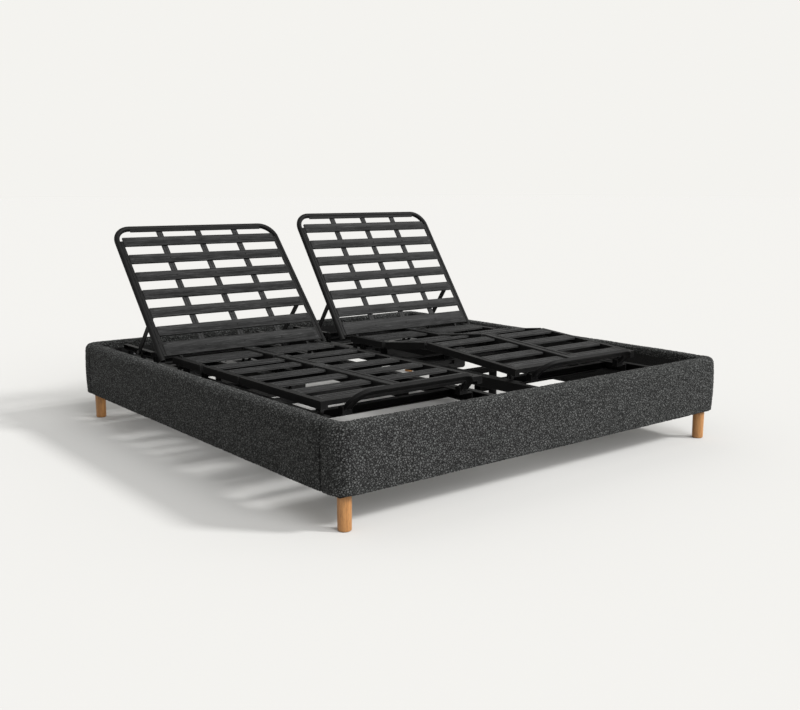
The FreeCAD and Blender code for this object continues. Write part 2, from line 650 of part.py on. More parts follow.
def carriage(side, deck_x, hinge_y):
    """Sliding frame with the strut tracks, seat posts and back hinge lugs."""
    u = ("carriage_in", "carriage_out")
    length = ("0 - carriage_foot", "track_end")
    height = ("carriage_low", "carriage_high")
    rails = pair(box, "slide_rail", u, length, height)
    hollow_z = ("carriage_low + carriage_wall", "carriage_high - carriage_wall")
    hollows = pair(box, "slide_hollow", ("carriage_in - 1", "carriage_out - carriage_wall"),
                   ("0 - carriage_foot - 1", "track_end + 1"), hollow_z)
    runners = cut("slide_rails", fuse("slide_solid", rails), hollows)

    pieces = [runners]
    reach = "carriage_out - carriage_wall"
    for index, y in enumerate(SLIDE_MEMBERS):
        tube = box(f"carriage_cross_{index}", (negative(reach), reach),
                   (f"{y} - member_half", f"{y} + member_half"), hollow_z)
        bore = box(f"carriage_bore_{index}", (f"carriage_wall - ( {reach} )", f"{reach} - carriage_wall"),
                   (f"{y} - member_half - overrun", f"{y} + member_half - cross_wall"),
                   (f"{hollow_z[0]} + cross_wall", f"{hollow_z[1]} - cross_wall"))
        pieces.append(cut(f"carriage_tube_{index}", tube, [bore]))
    pieces += pair(box, "cradle", ("drive_half", "drive_half + lug_thick"),
                   (SLIDE_MEMBERS[1], SLIDE_MEMBERS[2]),
                   ("carriage_low + carriage_wall + overrun", "carriage_high - carriage_wall - overrun"))
    for index, y in enumerate(SEAT_POSTS):
        span = (f"{y} - member_half", f"{y} + member_half")
        pieces += pair(box, f"seat_post_{index}", ("post_in", "carriage_out"), span,
                       ("carriage_high - overrun", "hinge_height - deck_drop"))
        pieces += pair(box, f"seat_shelf_{index}", ("post_in", "deck_half"), span,
                       ("hinge_height - deck_drop - shelf_thick", "hinge_height - deck_drop"))
    pieces += pair(box, "hinge_lug", ("slide_lug", "slide_lug + lug_thick"),
                   ("0 - hinge_lug_half", "hinge_lug_half"),
                   ("carriage_high - overrun", "hinge_height + hinge_lug_half"))

    track_y = ("track_start", "track_end")
    track_z = ("hinge_height - track_half", "hinge_height + track_half")
    track_u = ("track_in", "track_out")
    tracks = pair(box, "track", track_u, track_y, track_z)
    grooves = pair(box, "groove", ("track_in + carriage_wall", "track_out + overrun"),
                   ("track_start + carriage_wall", "track_end - carriage_wall"),
                   ("hinge_height - track_half + track_wall", "hinge_height + track_half - track_wall"))
    pieces.append(cut("tracks", fuse("track_solid", tracks), grooves))
    for index, y in enumerate(TRACK_POSTS):
        pieces += pair(box, f"track_post_{index}", ("track_in - member_half", "track_in + overrun"),
                       (f"{y} - track_half", f"{y} + track_half"),
                       ("carriage_high - overrun", "hinge_height + track_half / 2"))
    bores = hole_pair("lug_bore", ("slide_lug - overrun", "slide_lug + lug_thick + overrun"),
                      "0", "hinge_height")
    frame = cut("carriage_frame", fuse("carriage_steel", pieces), bores)
    node(place(frame, deck_x, hinge_y), f"{side}_carriage_frame")

    blocks = []
    for index, y in enumerate(SLIDE_GLIDES):
        blocks += pair(box, f"glide_{index}", ("carriage_out", "deck_half - base_wall - slide_fit"),
                       (f"{y} - slide_glide_half", f"{y} + slide_glide_half"),
                       ("carriage_low", "base_high - base_wall - slide_fit"))
    node(place(group("carriage_glides", blocks), deck_x, hinge_y), f"{side}_carriage_glides")


def seat(side, deck_x, hinge_y):
    """Flat middle section, fixed on the carriage, in the back hinge's frame."""
    foot_end = "seat_gap_foot - seat_length"
    head_end = "0 - seat_gap_head"
    y = (foot_end, head_end)
    inner = "deck_half - deck_tube"
    pieces = deck_rails("seat_rail", y)
    pieces.append(crossbar("seat_bar_foot", inner, (foot_end, f"{foot_end} + bar_width")))
    pieces.append(crossbar("seat_bar_head", inner, (f"{head_end} - bar_width", head_end)))
    pieces.append(spine("seat_spine", y))
    lug_u = ("deck_half - deck_tube - lug_thick", "deck_half - deck_tube")
    ears = place(fuse("seat_lugs", lug("seat_lug", lug_u, ("0", "lug_reach"))), y="0 - seat_length")
    holes = hole_pair("seat_bore", (f"{lug_u[0]} - overrun", f"{lug_u[1]} + overrun"), "0 - seat_length")
    frame = cut("seat_frame", fuse("seat_steel", pieces + [ears]), holes)
    node(place(frame, deck_x, hinge_y, "hinge_height"), f"{side}_seat_frame")
    rows = slats("seat_slats", SEAT_ROWS, "seat_plate_width")
    node(place(rows, deck_x, hinge_y, "hinge_height"), f"{side}_seat_slats")

    pins = []
    for index, (start, end, y) in enumerate((("326", "344.5", "0"), ("341", "356.5", "0 - seat_length"))):
        shanks = pair(rod, f"pin_{index}", (start, end), (y, "0"), "pin_radius")
        heads = pair(rod, f"pin_head_{index}", (end, f"{end} + pin_head"), (y, "0"), "pin_head_radius")
        pins += [fuse(f"hinge_pin_{index}_{end}", [shank, cap])
                 for end, (shank, cap) in enumerate(zip(shanks, heads))]
    node(place(group("hinge_pins", pins), deck_x, hinge_y, "hinge_height"), f"{side}_hinge_pins")


def back(side, deck_x, hinge_y):
    """Lifting back: bent tube with an inner lip, slats, ribs and the drive lever."""
    angle = f"{side}_back_angle"
    spot = (deck_x, hinge_y, "hinge_height", angle)
    centre_half = "back_half - tube_radius"
    centre_length = "back_length - tube_radius"
    centre_bend = "back_radius - tube_radius"
    loop = round_hoop(f"{side}_back_loop", centre_half, centre_length, centre_bend,
                      "tube_radius", "tube_wall", "tube_lift")

    lip_z = ("back_slat_low", "back_slat_low + lip_depth")
    lip_out = "back_half - 2 * tube_radius + weld"
    lip_in = f"{lip_out} - lip_width"
    lip_top = "back_length - 2 * tube_radius + weld"
    pieces = pair(box, "back_lip", (lip_in, lip_out), ("back_plate_start", "back_length - back_radius"),
                  lip_z)
    top_half = "back_half - back_radius"
    pieces.append(box("back_lip_top", (negative(top_half), top_half),
                      (f"{lip_top} - lip_width", lip_top), lip_z))
    web = ("web_in", "web_in + lug_thick")
    web_z = ("0 - web_drop", "back_slat_low")
    barrel = rod("back_barrel", (negative(web[1]), web[1]), ("0", "0"), "tube_radius")
    webs = pair(box, "back_web", web, ("0", "web_reach"), web_z)
    webs += pair(rod, "back_web_disc", (web[1], f"{web[1]} + lug_thick"), ("0", "0"), "lug_radius")
    webs += pair(box, "back_web_arm", ("web_in", f"{web[1]} + lug_thick"), ("hinge_lug_half", "web_reach"),
                 web_z)
    webs += pair(box, "back_bridge", ("web_in", lip_out), ("bridge_start", "bridge_start + bridge_width"),
                 ("bridge_low", "back_slat_low"))
    ear = ("strut_lug", "strut_lug + lug_thick")
    ear_y = ("strut_length - strut_lug_half", "strut_length + strut_lug_half")
    lugs = pair(rod, "strut_lug_disc", ear, ("strut_length", "0"), "strut_lug_half")
    lugs += pair(box, "strut_lug_plate", ear, ear_y, ("0", "back_slat_low"))
    lugs += pair(box, "strut_lug_foot", ("strut_lug", lip_out), ear_y, ("strut_lug_half", "back_slat_low"))
    steel = fuse("back_steel", [loop, barrel, lever("back_lever", "0 - back_lever_lead")]
                 + pieces + webs + lugs)
    holes = hole_pair("back_bore", ("web_in - pin_head", f"{web[1]} + lug_thick + overrun"))
    holes += hole_pair("strut_bore", (f"{ear[0]} - overrun", f"{ear[1]} + overrun"), "strut_length")
    holes.append(rod("barrel_bore", ("weld - web_in", "web_in - weld"), ("0", "0"),
                     "tube_radius - barrel_wall"))
    node(place(cut("back_frame", steel, holes), *spot), f"{side}_back_frame")

    slat_u = (negative(lip_in), lip_in)
    slat_z = ("back_slat_low", "back_slat_high")
    rows = [channel("back_plate_slat", slat_u, ("back_plate_start", "back_plate_start + back_plate"),
                    slat_z, "slat_wall")]
    for index in range(BACK_SLATS):
        middle = f"back_slat_first + {index} * back_slat_pitch"
        span = (f"{middle} - back_slat / 2", f"{middle} + back_slat / 2")
        rows.append(channel(f"back_slat_{index}", slat_u, span, slat_z, "slat_wall"))
    node(place(group("back_slats", rows), *spot), f"{side}_back_slats")

    ribs = []
    for index, offset in enumerate(("0 - rib_offset", "0", "rib_offset")):
        u = (f"{offset} - rib_width / 2", f"{offset} + rib_width / 2")
        ribs.append(box(f"back_rib_{index}", u, ("back_plate_start", "back_length - 2 * tube_radius"),
                        ("back_slat_low - rib_thick", "back_slat_low")))
    node(place(group("back_ribs", ribs), *spot), f"{side}_back_ribs")

    pins = []
    for end, (shank, cap) in enumerate(zip(
            pair(rod, "strut_pin", ("strut_in - overrun", "394.5"), ("strut_length", "0"), "pin_radius"),
            pair(rod, "strut_pin_head", ("394.5", "397.5"), ("strut_length", "0"), "pin_head_radius"))):
        pins.append(fuse(f"strut_pin_{end}", [shank, cap]))
    node(place(group("strut_pins", pins), *spot), f"{side}_strut_pins")


def struts(side, deck_x, hinge_y):
    """Struts from the back to the tracks; each makes an isosceles triangle with the hinge."""
    angle = f"{side}_back_angle"
    top_y = f"{hinge_y} + strut_length * cos( {angle} )"
    top_z = f"hinge_height + strut_length * sin( {angle} )"
    spot = (deck_x, top_y, top_z, negative(angle))
    u = ("strut_in", "strut_in + strut_thick")
    wide = ("strut_in - overrun", "strut_in + strut_thick + overrun")
    axle_end = "strut_in + strut_thick + 0.5"
    bars = []
    holes = []
    for end in ("0", "strut_length"):
        bars += pair(rod, "strut_eye", u, (end, "0"), "strut_half")
        holes += pair(rod, "strut_hole", wide, (end, "0"), "pin_radius + pin_fit")
    bars += pair(box, "strut_bar", u, ("0", "strut_length"), ("0 - strut_half", "strut_half"))
    arms = [fuse(f"strut_arm_{index}", bars[index::2]) for index in range(2)]
    node(place(cut("struts", group("strut_arms", arms), holes), *spot), f"{side}_back_struts")

    glides = []
    wheel = pair(rod, "glide_disc", ("track_in + 4", "track_out - 1"), ("strut_length", "0"), "glide_radius")
    axle = pair(rod, "glide_axle", ("track_out - 1", axle_end), ("strut_length", "0"), "pin_radius")
    cap = pair(rod, "glide_cap", (axle_end, f"{axle_end} + pin_head"), ("strut_length", "0"),
               "pin_head_radius")
    for end, trio in enumerate(zip(wheel, axle, cap)):
        glides.append(fuse(f"strut_glide_{end}", list(trio)))
    node(place(group("strut_glides", glides), *spot), f"{side}_strut_glides")


def thigh(side, deck_x, hinge_y):
    """Thigh section, in the frame of its hinge at the seat."""
    spot = (deck_x, f"{hinge_y} - seat_length", "hinge_height", negative(f"{side}_thigh_angle"))
    far = "knee_gap - thigh_length"
    y = (far, "0 - thigh_gap")
    inner = "deck_half - deck_tube"
    pieces = deck_rails("thigh_rail", y)
    bar = "bar_inset - thigh_length"
    pieces.append(crossbar("thigh_bar", inner, (bar, f"{bar} + bar_width")))
    pieces.append(spine("thigh_spine", y))
    pieces.append(rod("thigh_barrel", ("0 - drop_lug", "drop_lug"), ("0", "0"), "tube_radius"))
    pieces.append(lever("thigh_lever", "thigh_lever_lead"))
    pieces += lug("thigh_lug", DROP_LUG, ("0 - lug_reach", "0"))
    spacer = pair(box, "thigh_spacer", (f"{DROP_LUG[1]} - overrun", inner),
                  ("0 - lug_reach", "0 - bar_inset"), ("0 - deck_drop", "deck_rise - slat_depth"))
    knee = place(fuse("knee_lugs", lug("knee_lug", (f"{inner} - lug_thick", inner), ("0", "lug_reach"))),
                 y="0 - thigh_length")
    holes = hole_pair("thigh_bore", ("drop_lug - lug_radius", f"{DROP_LUG[1]} + overrun"))
    holes += hole_pair("knee_bore", (f"{inner} - lug_thick - overrun", f"{inner} + overrun"),
                       "0 - thigh_length")
    holes.append(rod("barrel_bore", ("pin_head_radius - drop_lug", "drop_lug - pin_head_radius"), ("0", "0"),
                     "tube_radius - barrel_wall"))
    frame = cut("thigh_frame", fuse("thigh_steel", pieces + spacer + [knee]), holes)
    node(place(frame, *spot), f"{side}_thigh_frame")
    rows = slats("thigh_slats", THIGH_ROWS)
    node(place(rows, *spot), f"{side}_thigh_slats")

    pins = []
    for end, (shank, cap) in enumerate(zip(
            pair(rod, "knee_pin", ("341", "355.5"), ("0 - thigh_length", "0"), "pin_radius"),
            pair(rod, "knee_head", ("337", "342"), ("0 - thigh_length", "0"), "pin_head_radius"))):
        pins.append(fuse(f"knee_pin_{end}", [shank, cap]))
    node(place(group("knee_pins", pins), *spot), f"{side}_knee_pins")


def shin(side, deck_x, hinge_y):
    """Leg section, in the frame of the knee hinge, with its glides and mattress retainer."""
    angle = f"{side}_thigh_angle"
    knee_y = f"{hinge_y} - seat_length - thigh_length * cos( {angle} )"
    knee_z = f"hinge_height + thigh_length * sin( {angle} )"
    spot = (deck_x, knee_y, knee_z, f"knee_rate * {angle}")
    inner = "deck_half - deck_tube"
    end = "0 - shin_length"
    pieces = deck_rails("shin_rail", (end, "0 - knee_gap"))
    pieces.append(crossbar("shin_bar", DROP_LUG[0], ("0 - bar_inset - bar_width", "0 - bar_inset")))
    pieces.append(channel("shin_end", (negative(inner), inner), (end, f"{end} + bar_width"),
                          ("end_low", "deck_rise"), "slat_wall"))
    pieces.append(spine("shin_spine", (f"{end} + bar_width - overrun", "0 - knee_gap")))
    pieces += lug("shin_lug", DROP_LUG, ("0 - lug_reach", "0"))
    pieces += pair(box, "shin_spacer", (f"{DROP_LUG[1]} - overrun", inner),
                   ("0 - lug_reach", "0 - bar_inset"), ("0 - deck_drop", "deck_rise - slat_depth"))
    pieces += pair(box, "shin_stirrup", (DROP_LUG[0], f"{inner} + overrun"),
                   ("0 - glide_reach - stirrup_half", "stirrup_half - glide_reach"),
                   ("0 - deck_drop", "shelf_thick"))
    pieces += pair(box, "shin_shank", DROP_LUG, ("0 - glide_reach - shank_half", "shank_half - glide_reach"),
                   ("0 - shin_glide_drop - pin_radius", "overrun - deck_drop"))
    bore_u = (f"{DROP_LUG[0]} - overrun", f"{DROP_LUG[1]} + overrun")
    holes = hole_pair("shin_bore", bore_u)
    holes += hole_pair("shin_glide_bore", bore_u, "0 - glide_reach", "0 - shin_glide_drop")
    frame = cut("shin_frame", fuse("shin_steel", pieces), holes)
    node(place(frame, *spot), f"{side}_leg_frame")
    rows = slats("shin_slats", LEG_ROWS)
    node(place(rows, *spot), f"{side}_leg_slats")

    middle = ("0 - glide_reach", "0 - shin_glide_drop")
    wheels = []
    for index, (wheel, stub) in enumerate(zip(
            pair(rod, "shin_wheel", ("328", "342.5"), middle, "shin_glide_radius"),
            pair(rod, "shin_stub", ("342.5", "348.5"), middle, "pin_radius"))):
        wheels.append(fuse(f"leg_glide_{index}", [wheel, stub]))
    node(place(group("leg_glides", wheels), *spot), f"{side}_leg_glides")

    bar = flat_hoop(f"{side}_retainer", "retainer_half", "retainer_length", "retainer_bend",
                    "retainer_wide", "retainer_thin", "retainer_edge", "retainer_wall")
    place(bar, y="0 - retainer_start", z="0 - retainer_drop", tilt="retainer_tilt")
    clamps = pair(box, "retainer_clamp",
                  ("retainer_half - clamp_half_width", "retainer_half + clamp_half_width"),
                  ("0 - retainer_start - clamp_half_length", "clamp_half_length - retainer_start"),
                  ("0 - retainer_drop - clamp_drop", "0 - deck_drop"))
    node(place(fuse("retainer_bar", [bar] + clamps), *spot), f"{side}_retainer_bar")


def drive(side, deck_x, hinge_y):
    """Twin drive under the seat: housing with two pockets, and a pusher in each."""
    body_y = ("0 - seat_length - drive_foot", "drive_head")
    half = "drive_half"
    corners = [(negative(half), body_y[0]), (half, body_y[0]), (half, body_y[1]), (negative(half), body_y[1])]
    body, pad = padded_body(f"{side}_drive_body", corners, "drive_low", "drive_high")
    round_edges(body, pad, f"{side}_drive_round", "drive_edge",
                lambda edge: edge.BoundBox.ZMax < pad.Shape.BoundBox.ZMin + 1 or edge.BoundBox.ZLength > 1)
    for name, (low, high) in (("back", BACK_POCKET), ("thigh", THIGH_POCKET)):
        outline = [("0 - pocket_half", low), ("pocket_half", low), ("pocket_half", high),
                   ("0 - pocket_half", high)]
        pocket_up(body, f"{side}_{name}_pocket", outline, "pocket_floor",
                  "drive_high + overrun")
    inlet = box("mains_inlet", ("0 - inlet_half", "inlet_half"),
                (f"{body_y[0]} - overrun", f"{body_y[0]} + inlet_depth"), ("inlet_low", "inlet_high"))
    vents = [box("vent", ("drive_half - vent_depth", "drive_half + overrun"),
                 (f"{y} - vent_half", f"{y} + vent_half"), ("vent_low", "vent_high")) for y in VENTS]
    node(place(cut("drive_housing", body, [inlet] + vents), deck_x, hinge_y), f"{side}_drive_housing")

    travel = f"lever_length * 2 * sin( back_lever_lead ) * {side}_back_angle / ( 2 * back_lever_lead )"
    front = f"{travel} - lever_length * sin( back_lever_lead ) - roller_radius - push_gap"
    block_u = ("0 - block_half", "block_half")
    block_z = ("block_low", "block_high")
    pusher = box("back_block", block_u, ("0 - block_length", "0"), block_z)
    nut = collar("back_collar", "0 - block_length", "collar_length - block_length")
    node(place(fuse("back_pusher", [pusher, nut]),
               deck_x, total(hinge_y, front)), f"{side}_back_thrust_block")
    travel = f"lever_length * 2 * sin( thigh_lever_lead ) * {side}_thigh_angle / ( 2 * thigh_lever_lead )"
    front = f"lever_length * sin( thigh_lever_lead ) + roller_radius + push_gap - seat_length - {travel}"
    pusher = box("leg_block", block_u, ("0", "block_length"), block_z)
    nut = collar("leg_collar", "block_length - collar_length", "block_length")
    node(place(fuse("leg_pusher", [pusher, nut]),
               deck_x, total(hinge_y, front)), f"{side}_leg_thrust_block")


def collar(name, low, high):
    """The spindle nut's collar at the end of a pusher, proud above it."""
    return box(name, ("0 - collar_half", "collar_half"), (low, high),
               ("block_low", "block_high + collar_rise"))


def lifting_deck(side, deck_x):
    hinge_y = f"( hinge_home + slide_rate * {side}_back_angle * pi / 180 )"
    base_frame(side, deck_x)
    for section in (carriage, seat, back, struts, thigh, shin, drive):
        section(side, deck_x, hinge_y)


# ---------------------------------------------------------------- build, check, write

surround()
lifting_deck("left", "0 - deck_centre")
lifting_deck("right", "deck_centre")
doc.recompute()

for item in doc.Objects:
    if {"Invalid", "Error"} & set(item.State):
        raise RuntimeError(f"{item.Label} failed: {item.State}")
for item in nodes:
    if item.Shape.isNull() or not item.Shape.isValid():
        raise RuntimeError(f"{item.Label} has a bad shape")

os.makedirs("parts", exist_ok=True)
for item in nodes:
    item.Shape.exportStep(f"parts/{item.Label}.step")
    print(item.Label, len(item.Shape.Solids), round(item.Shape.Volume / 1000), "cm3")
print(len(nodes), "nodes")
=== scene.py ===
import json
import math

import bmesh
import bpy
from mathutils import Matrix, Vector
from mathutils.noise import noise as value_noise


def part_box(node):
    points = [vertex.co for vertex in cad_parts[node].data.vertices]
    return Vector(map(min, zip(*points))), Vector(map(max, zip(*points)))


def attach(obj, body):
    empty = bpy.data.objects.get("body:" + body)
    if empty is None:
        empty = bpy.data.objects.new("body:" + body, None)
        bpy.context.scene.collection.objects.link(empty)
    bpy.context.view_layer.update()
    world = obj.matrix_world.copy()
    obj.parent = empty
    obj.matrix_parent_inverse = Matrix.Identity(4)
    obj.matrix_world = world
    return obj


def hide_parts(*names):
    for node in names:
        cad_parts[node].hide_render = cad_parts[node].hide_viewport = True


# Adjustable bed base. Metres; origin on the floor, +X right seen from the foot, +Y to the head.

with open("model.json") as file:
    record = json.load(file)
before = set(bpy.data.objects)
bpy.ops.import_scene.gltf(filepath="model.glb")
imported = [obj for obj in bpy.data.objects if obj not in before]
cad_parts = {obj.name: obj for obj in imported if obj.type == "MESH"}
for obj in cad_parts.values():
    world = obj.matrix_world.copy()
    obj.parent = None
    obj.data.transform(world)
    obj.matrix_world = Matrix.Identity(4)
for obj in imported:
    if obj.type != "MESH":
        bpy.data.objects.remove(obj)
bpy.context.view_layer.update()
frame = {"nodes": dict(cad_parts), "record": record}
SIDES = ("left", "right")
END_RAILS = {"foot_rail_cover": -1, "head_rail_cover": 1}
SIDE_RAILS = {"left_rail_cover": -1, "right_rail_cover": 1}
WOODEN_LEGS = ("foot_left_leg", "foot_right_leg", "head_left_leg", "head_right_leg")
UP = (0, 0, 1)


# ---------------------------------------------------------------- camera, floor, light

CAMERA_SPOT = (-2.682, -3.465, 1.084)
CAMERA_YAW, CAMERA_DIP = 38.56, 9.68
CAMERA_LENS = 43.6
CAMERA_REACH = 200
WORLD_TONE = (0.905, 0.896, 0.866, 1)
FLOOR_TONE = (0.425, 0.423, 0.418, 1)
FLOOR_SIZE = 240
# Suns: name, the spot each shines from, strength, spread in degrees, colour.
SUNS = (("key", (3.4, -3.7, 3.6), 3.7, 9, (1, 0.995, 0.98)),
        ("front_fill", (0.0, -3.5, 2.6), 2.9, 40, (1, 1, 1)))


def make_camera():
    data = bpy.data.cameras.new("camera")
    data.lens = CAMERA_LENS
    data.clip_end = CAMERA_REACH
    camera = bpy.data.objects.new("camera", data)
    bpy.context.collection.objects.link(camera)
    camera.location = CAMERA_SPOT
    camera.rotation_euler = (math.radians(90 - CAMERA_DIP), 0, math.radians(-CAMERA_YAW))
    bpy.context.scene.camera = camera


def make_sun(name, spot, energy, spread, colour):
    """A soft sun that shines from a spot towards the origin."""
    data = bpy.data.lights.new(name, "SUN")
    data.energy = energy
    data.color = colour
    data.angle = math.radians(spread)
    lamp = bpy.data.objects.new(name, data)
    bpy.context.collection.objects.link(lamp)
    lamp.location = spot
    lamp.rotation_euler = (Vector() - Vector(spot)).to_track_quat("-Z", "Y").to_euler()


def make_studio():
    """A pale sky, a matt paper floor and the suns."""
    world = bpy.data.worlds.new("studio")
    bpy.context.scene.world = world
    world.use_nodes = True
    background = world.node_tree.nodes["Background"]
    background.inputs["Color"].default_value = WORLD_TONE
    background.inputs["Strength"].default_value = 1.0

    bpy.ops.mesh.primitive_plane_add(size=FLOOR_SIZE, location=(0, 0, 0))
    floor = bpy.context.object
    floor.name = "studio_floor"
    paper = bpy.data.materials.new("studio_paper")
    paper.use_nodes = True
    shader = paper.node_tree.nodes["Principled BSDF"]
    shader.inputs["Base Color"].default_value = FLOOR_TONE
    shader.inputs["Roughness"].default_value = 1.0
    shader.inputs["Specular IOR Level"].default_value = 0.0
    floor.data.materials.append(paper)

    for sun in SUNS:
        make_sun(*sun)


# ---------------------------------------------------------------- materials

class Shader:
    """A small helper to wire one Principled material."""

    def __init__(self, name, roughness, metallic=0.0, **sockets):
        self.material = bpy.data.materials.new(name)
        self.material.use_nodes = True
        self.tree = self.material.node_tree
        self.base = self.tree.nodes["Principled BSDF"]
        self.base.inputs["Roughness"].default_value = roughness
        self.base.inputs["Metallic"].default_value = metallic
        for label, value in sockets.items():
            self.base.inputs[label.replace("_", " ")].default_value = value
        self.place = self.node("ShaderNodeTexCoord").outputs["Object"]

    def node(self, kind, **settings):
        made = self.tree.nodes.new(kind)
        for label, value in settings.items():
            setattr(made, label, value)
        return made

    def link(self, out, into):
        self.tree.links.new(out, into)

    def scaled(self, scale):
        """The piece's own coordinates, stretched."""
        mapping = self.node("ShaderNodeMapping")
        mapping.inputs["Scale"].default_value = scale
        self.link(self.place, mapping.inputs["Vector"])
        return mapping.outputs["Vector"]

    def noise(self, scale, detail=4.0, roughness=0.55, stretch=(1, 1, 1), distortion=0.0):
        made = self.node("ShaderNodeTexNoise")
        made.inputs["Scale"].default_value = scale
        made.inputs["Detail"].default_value = detail
        made.inputs["Roughness"].default_value = roughness
        made.inputs["Distortion"].default_value = distortion
        self.link(self.scaled(stretch), made.inputs["Vector"])
        return made.outputs["Fac"]

    def cells(self, scale, stretch=(1, 1, 1)):
        """Round cells: 0 at a cell's middle, rising to its border."""
        made = self.node("ShaderNodeTexVoronoi")
        made.inputs["Scale"].default_value = scale
        self.link(self.scaled(stretch), made.inputs["Vector"])
        return made.outputs["Distance"]

    def curls(self, scale, wander):
        """Even cells whose outlines wander: 0 at a cell's border, rising to its middle."""
        drift = self.node("ShaderNodeTexNoise")
        drift.inputs["Scale"].default_value = scale * 1.3
        drift.inputs["Detail"].default_value = 2.0
        self.link(self.place, drift.inputs["Vector"])
        moved = self.node("ShaderNodeVectorMath", operation="MULTIPLY_ADD")
        self.link(drift.outputs["Color"], moved.inputs[0])
        moved.inputs[1].default_value = (wander,) * 3
        self.link(self.place, moved.inputs[2])
        made = self.node("ShaderNodeTexVoronoi", feature="DISTANCE_TO_EDGE")
        made.inputs["Scale"].default_value = scale
        self.link(moved.outputs["Vector"], made.inputs["Vector"])
        return made.outputs["Distance"]

    def ramp(self, factor, stops):
        """Colours or greys over a 0 to 1 factor: stops are (place, colour)."""
        made = self.node("ShaderNodeValToRGB")
        band = made.color_ramp
        while len(band.elements) < len(stops):
            band.elements.new(0.5)
        for element, (spot, colour) in zip(band.elements, stops):
            element.position = spot
            element.color = (*colour, 1) if len(colour) == 3 else (colour[0],) * 3 + (1,)
        self.link(factor, made.inputs["Fac"])
        return made.outputs["Color"]

    def mix(self, factor, first, second, blend="MIX"):
        """Two colours mixed by a number or by another node's output."""
        made = self.node("ShaderNodeMix", data_type="RGBA", blend_type=blend)
        if isinstance(factor, float):
            made.inputs[0].default_value = factor
        else:
            self.link(factor, made.inputs[0])
        self.link(first, made.inputs[6])
        self.link(second, made.inputs[7])
        return made.outputs[2]

    def multiply(self, first, second):
        return self.mix(1.0, first, second, "MULTIPLY")

    def add(self, first, second, weight):
        """first + second * weight."""
        made = self.node("ShaderNodeMath", operation="MULTIPLY_ADD")
        self.link(second, made.inputs[0])
        made.inputs[1].default_value = weight
        self.link(first, made.inputs[2])
        return made.outputs[0]

    def colour(self, out):
        self.link(out, self.base.inputs["Base Color"])

    def roughness(self, factor, low, high):
        made = self.node("ShaderNodeMapRange")
        made.inputs["To Min"].default_value = low
        made.inputs["To Max"].default_value = high
        self.link(factor, made.inputs["Value"])
        self.link(made.outputs["Result"], self.base.inputs["Roughness"])

    def bump(self, height, strength, distance):
        made = self.node("ShaderNodeBump")
        made.inputs["Strength"].default_value = strength
        made.inputs["Distance"].default_value = distance
        self.link(height, made.inputs["Height"])
        self.link(made.outputs["Normal"], self.base.inputs["Normal"])

    def edge_wear_and_glint(self, reach=0.0016):
        """Bright within a millimetre or two of an edge: where the coat rubs thin, and a painted
        highlight of the glint along the edge.
        """
        rounded = self.node("ShaderNodeBevel", samples=4)
        rounded.inputs["Radius"].default_value = reach
        turn = self.node("ShaderNodeVectorMath", operation="DOT_PRODUCT")
        self.link(rounded.outputs["Normal"], turn.inputs[0])
        self.link(self.node("ShaderNodeNewGeometry").outputs["True Normal"], turn.inputs[1])
        return self.ramp(turn.outputs["Value"], ((0.86, (1.0,)), (0.985, (0.0,))))


def boucle():
    """Charcoal boucle: curled loops, with painted shade in the gaps between them and painted
    highlights on their tops; the lining inside is plain black.
    """
    loop_scale, loop_wander, strand_scale, fuzz_scale = 118, 0.0085, 430, 800
    yarn_share, relief = 0.72, 0.0030
    cloth = Shader("boucle", 0.9, Sheen_Weight=0.04, Sheen_Roughness=0.5,
                   Specular_IOR_Level=0.15)
    cloth.base.inputs["Sheen Tint"].default_value = (0.62, 0.63, 0.63, 1)
    loops = cloth.curls(loop_scale, loop_wander)
    yarn = cloth.ramp(loops, ((0.0, (0.0,)), (0.09, (0.42,)), (0.20, (0.75,)), (0.42, (1.0,))))
    strand = cloth.noise(strand_scale, detail=2, roughness=0.6, distortion=2.5)
    fuzz = cloth.noise(fuzz_scale, detail=3, roughness=0.7)
    pile = cloth.node("ShaderNodeAttribute", attribute_name="pile").outputs["Fac"]
    height_for_painted_shade = cloth.mix(yarn_share, pile, yarn)
    # Colour by pile height: painted shade in the low gaps and along the seams, painted
    # highlight on the loop tops.
    tone = cloth.ramp(height_for_painted_shade, ((0.14, (0.0004, 0.0004, 0.0004)),
                               (0.40, (0.0060, 0.0062, 0.0061)),
                               (0.64, (0.0240, 0.0248, 0.0244)),
                               (0.90, (0.074, 0.0763, 0.0751))))
    frayed = cloth.ramp(fuzz, ((0.3, (0.8,)), (0.7, (1.2,))))
    twisted = cloth.ramp(strand, ((0.36, (0.55,)), (0.50, (1.0,)), (0.64, (1.45,))))
    tone = cloth.multiply(cloth.multiply(tone, frayed), twisted)
    plain = cloth.ramp(fuzz, ((0.3, (0.004,)), (0.7, (0.011,))))
    inside = cloth.node("ShaderNodeAttribute", attribute_name="lining").outputs["Fac"]
    cloth.colour(cloth.mix(inside, tone, plain))
    cloth.roughness(fuzz, 0.82, 1.0)
    cloth.bump(cloth.add(cloth.add(yarn, strand, 0.55), fuzz, 0.2), 0.9, relief)
    return cloth.material


def oak():
    """Oiled light oak: long grain along the leg, rings and open pores."""
    along_grain, along_pores = (7, 7, 0.55), (9, 9, 0.5)
    timber = Shader("oak", 0.42, Specular_IOR_Level=0.4, Coat_Weight=0.12, Coat_Roughness=0.35)
    grain = timber.noise(14, detail=5, roughness=0.6, stretch=along_grain, distortion=0.5)
    pores = timber.noise(60, detail=2, roughness=0.8, stretch=along_pores)
    tone = timber.ramp(grain, ((0.30, (0.22, 0.095, 0.025)), (0.50, (0.285, 0.132, 0.040)),
                               (0.72, (0.335, 0.166, 0.056))))
    dark = timber.ramp(pores, ((0.36, (0.55,)), (0.46, (1.0,))))
    timber.colour(timber.multiply(tone, dark))
    timber.roughness(grain, 0.36, 0.52)
    timber.bump(timber.add(grain, pores, 0.5), 0.25, 0.0006)
    return timber.material


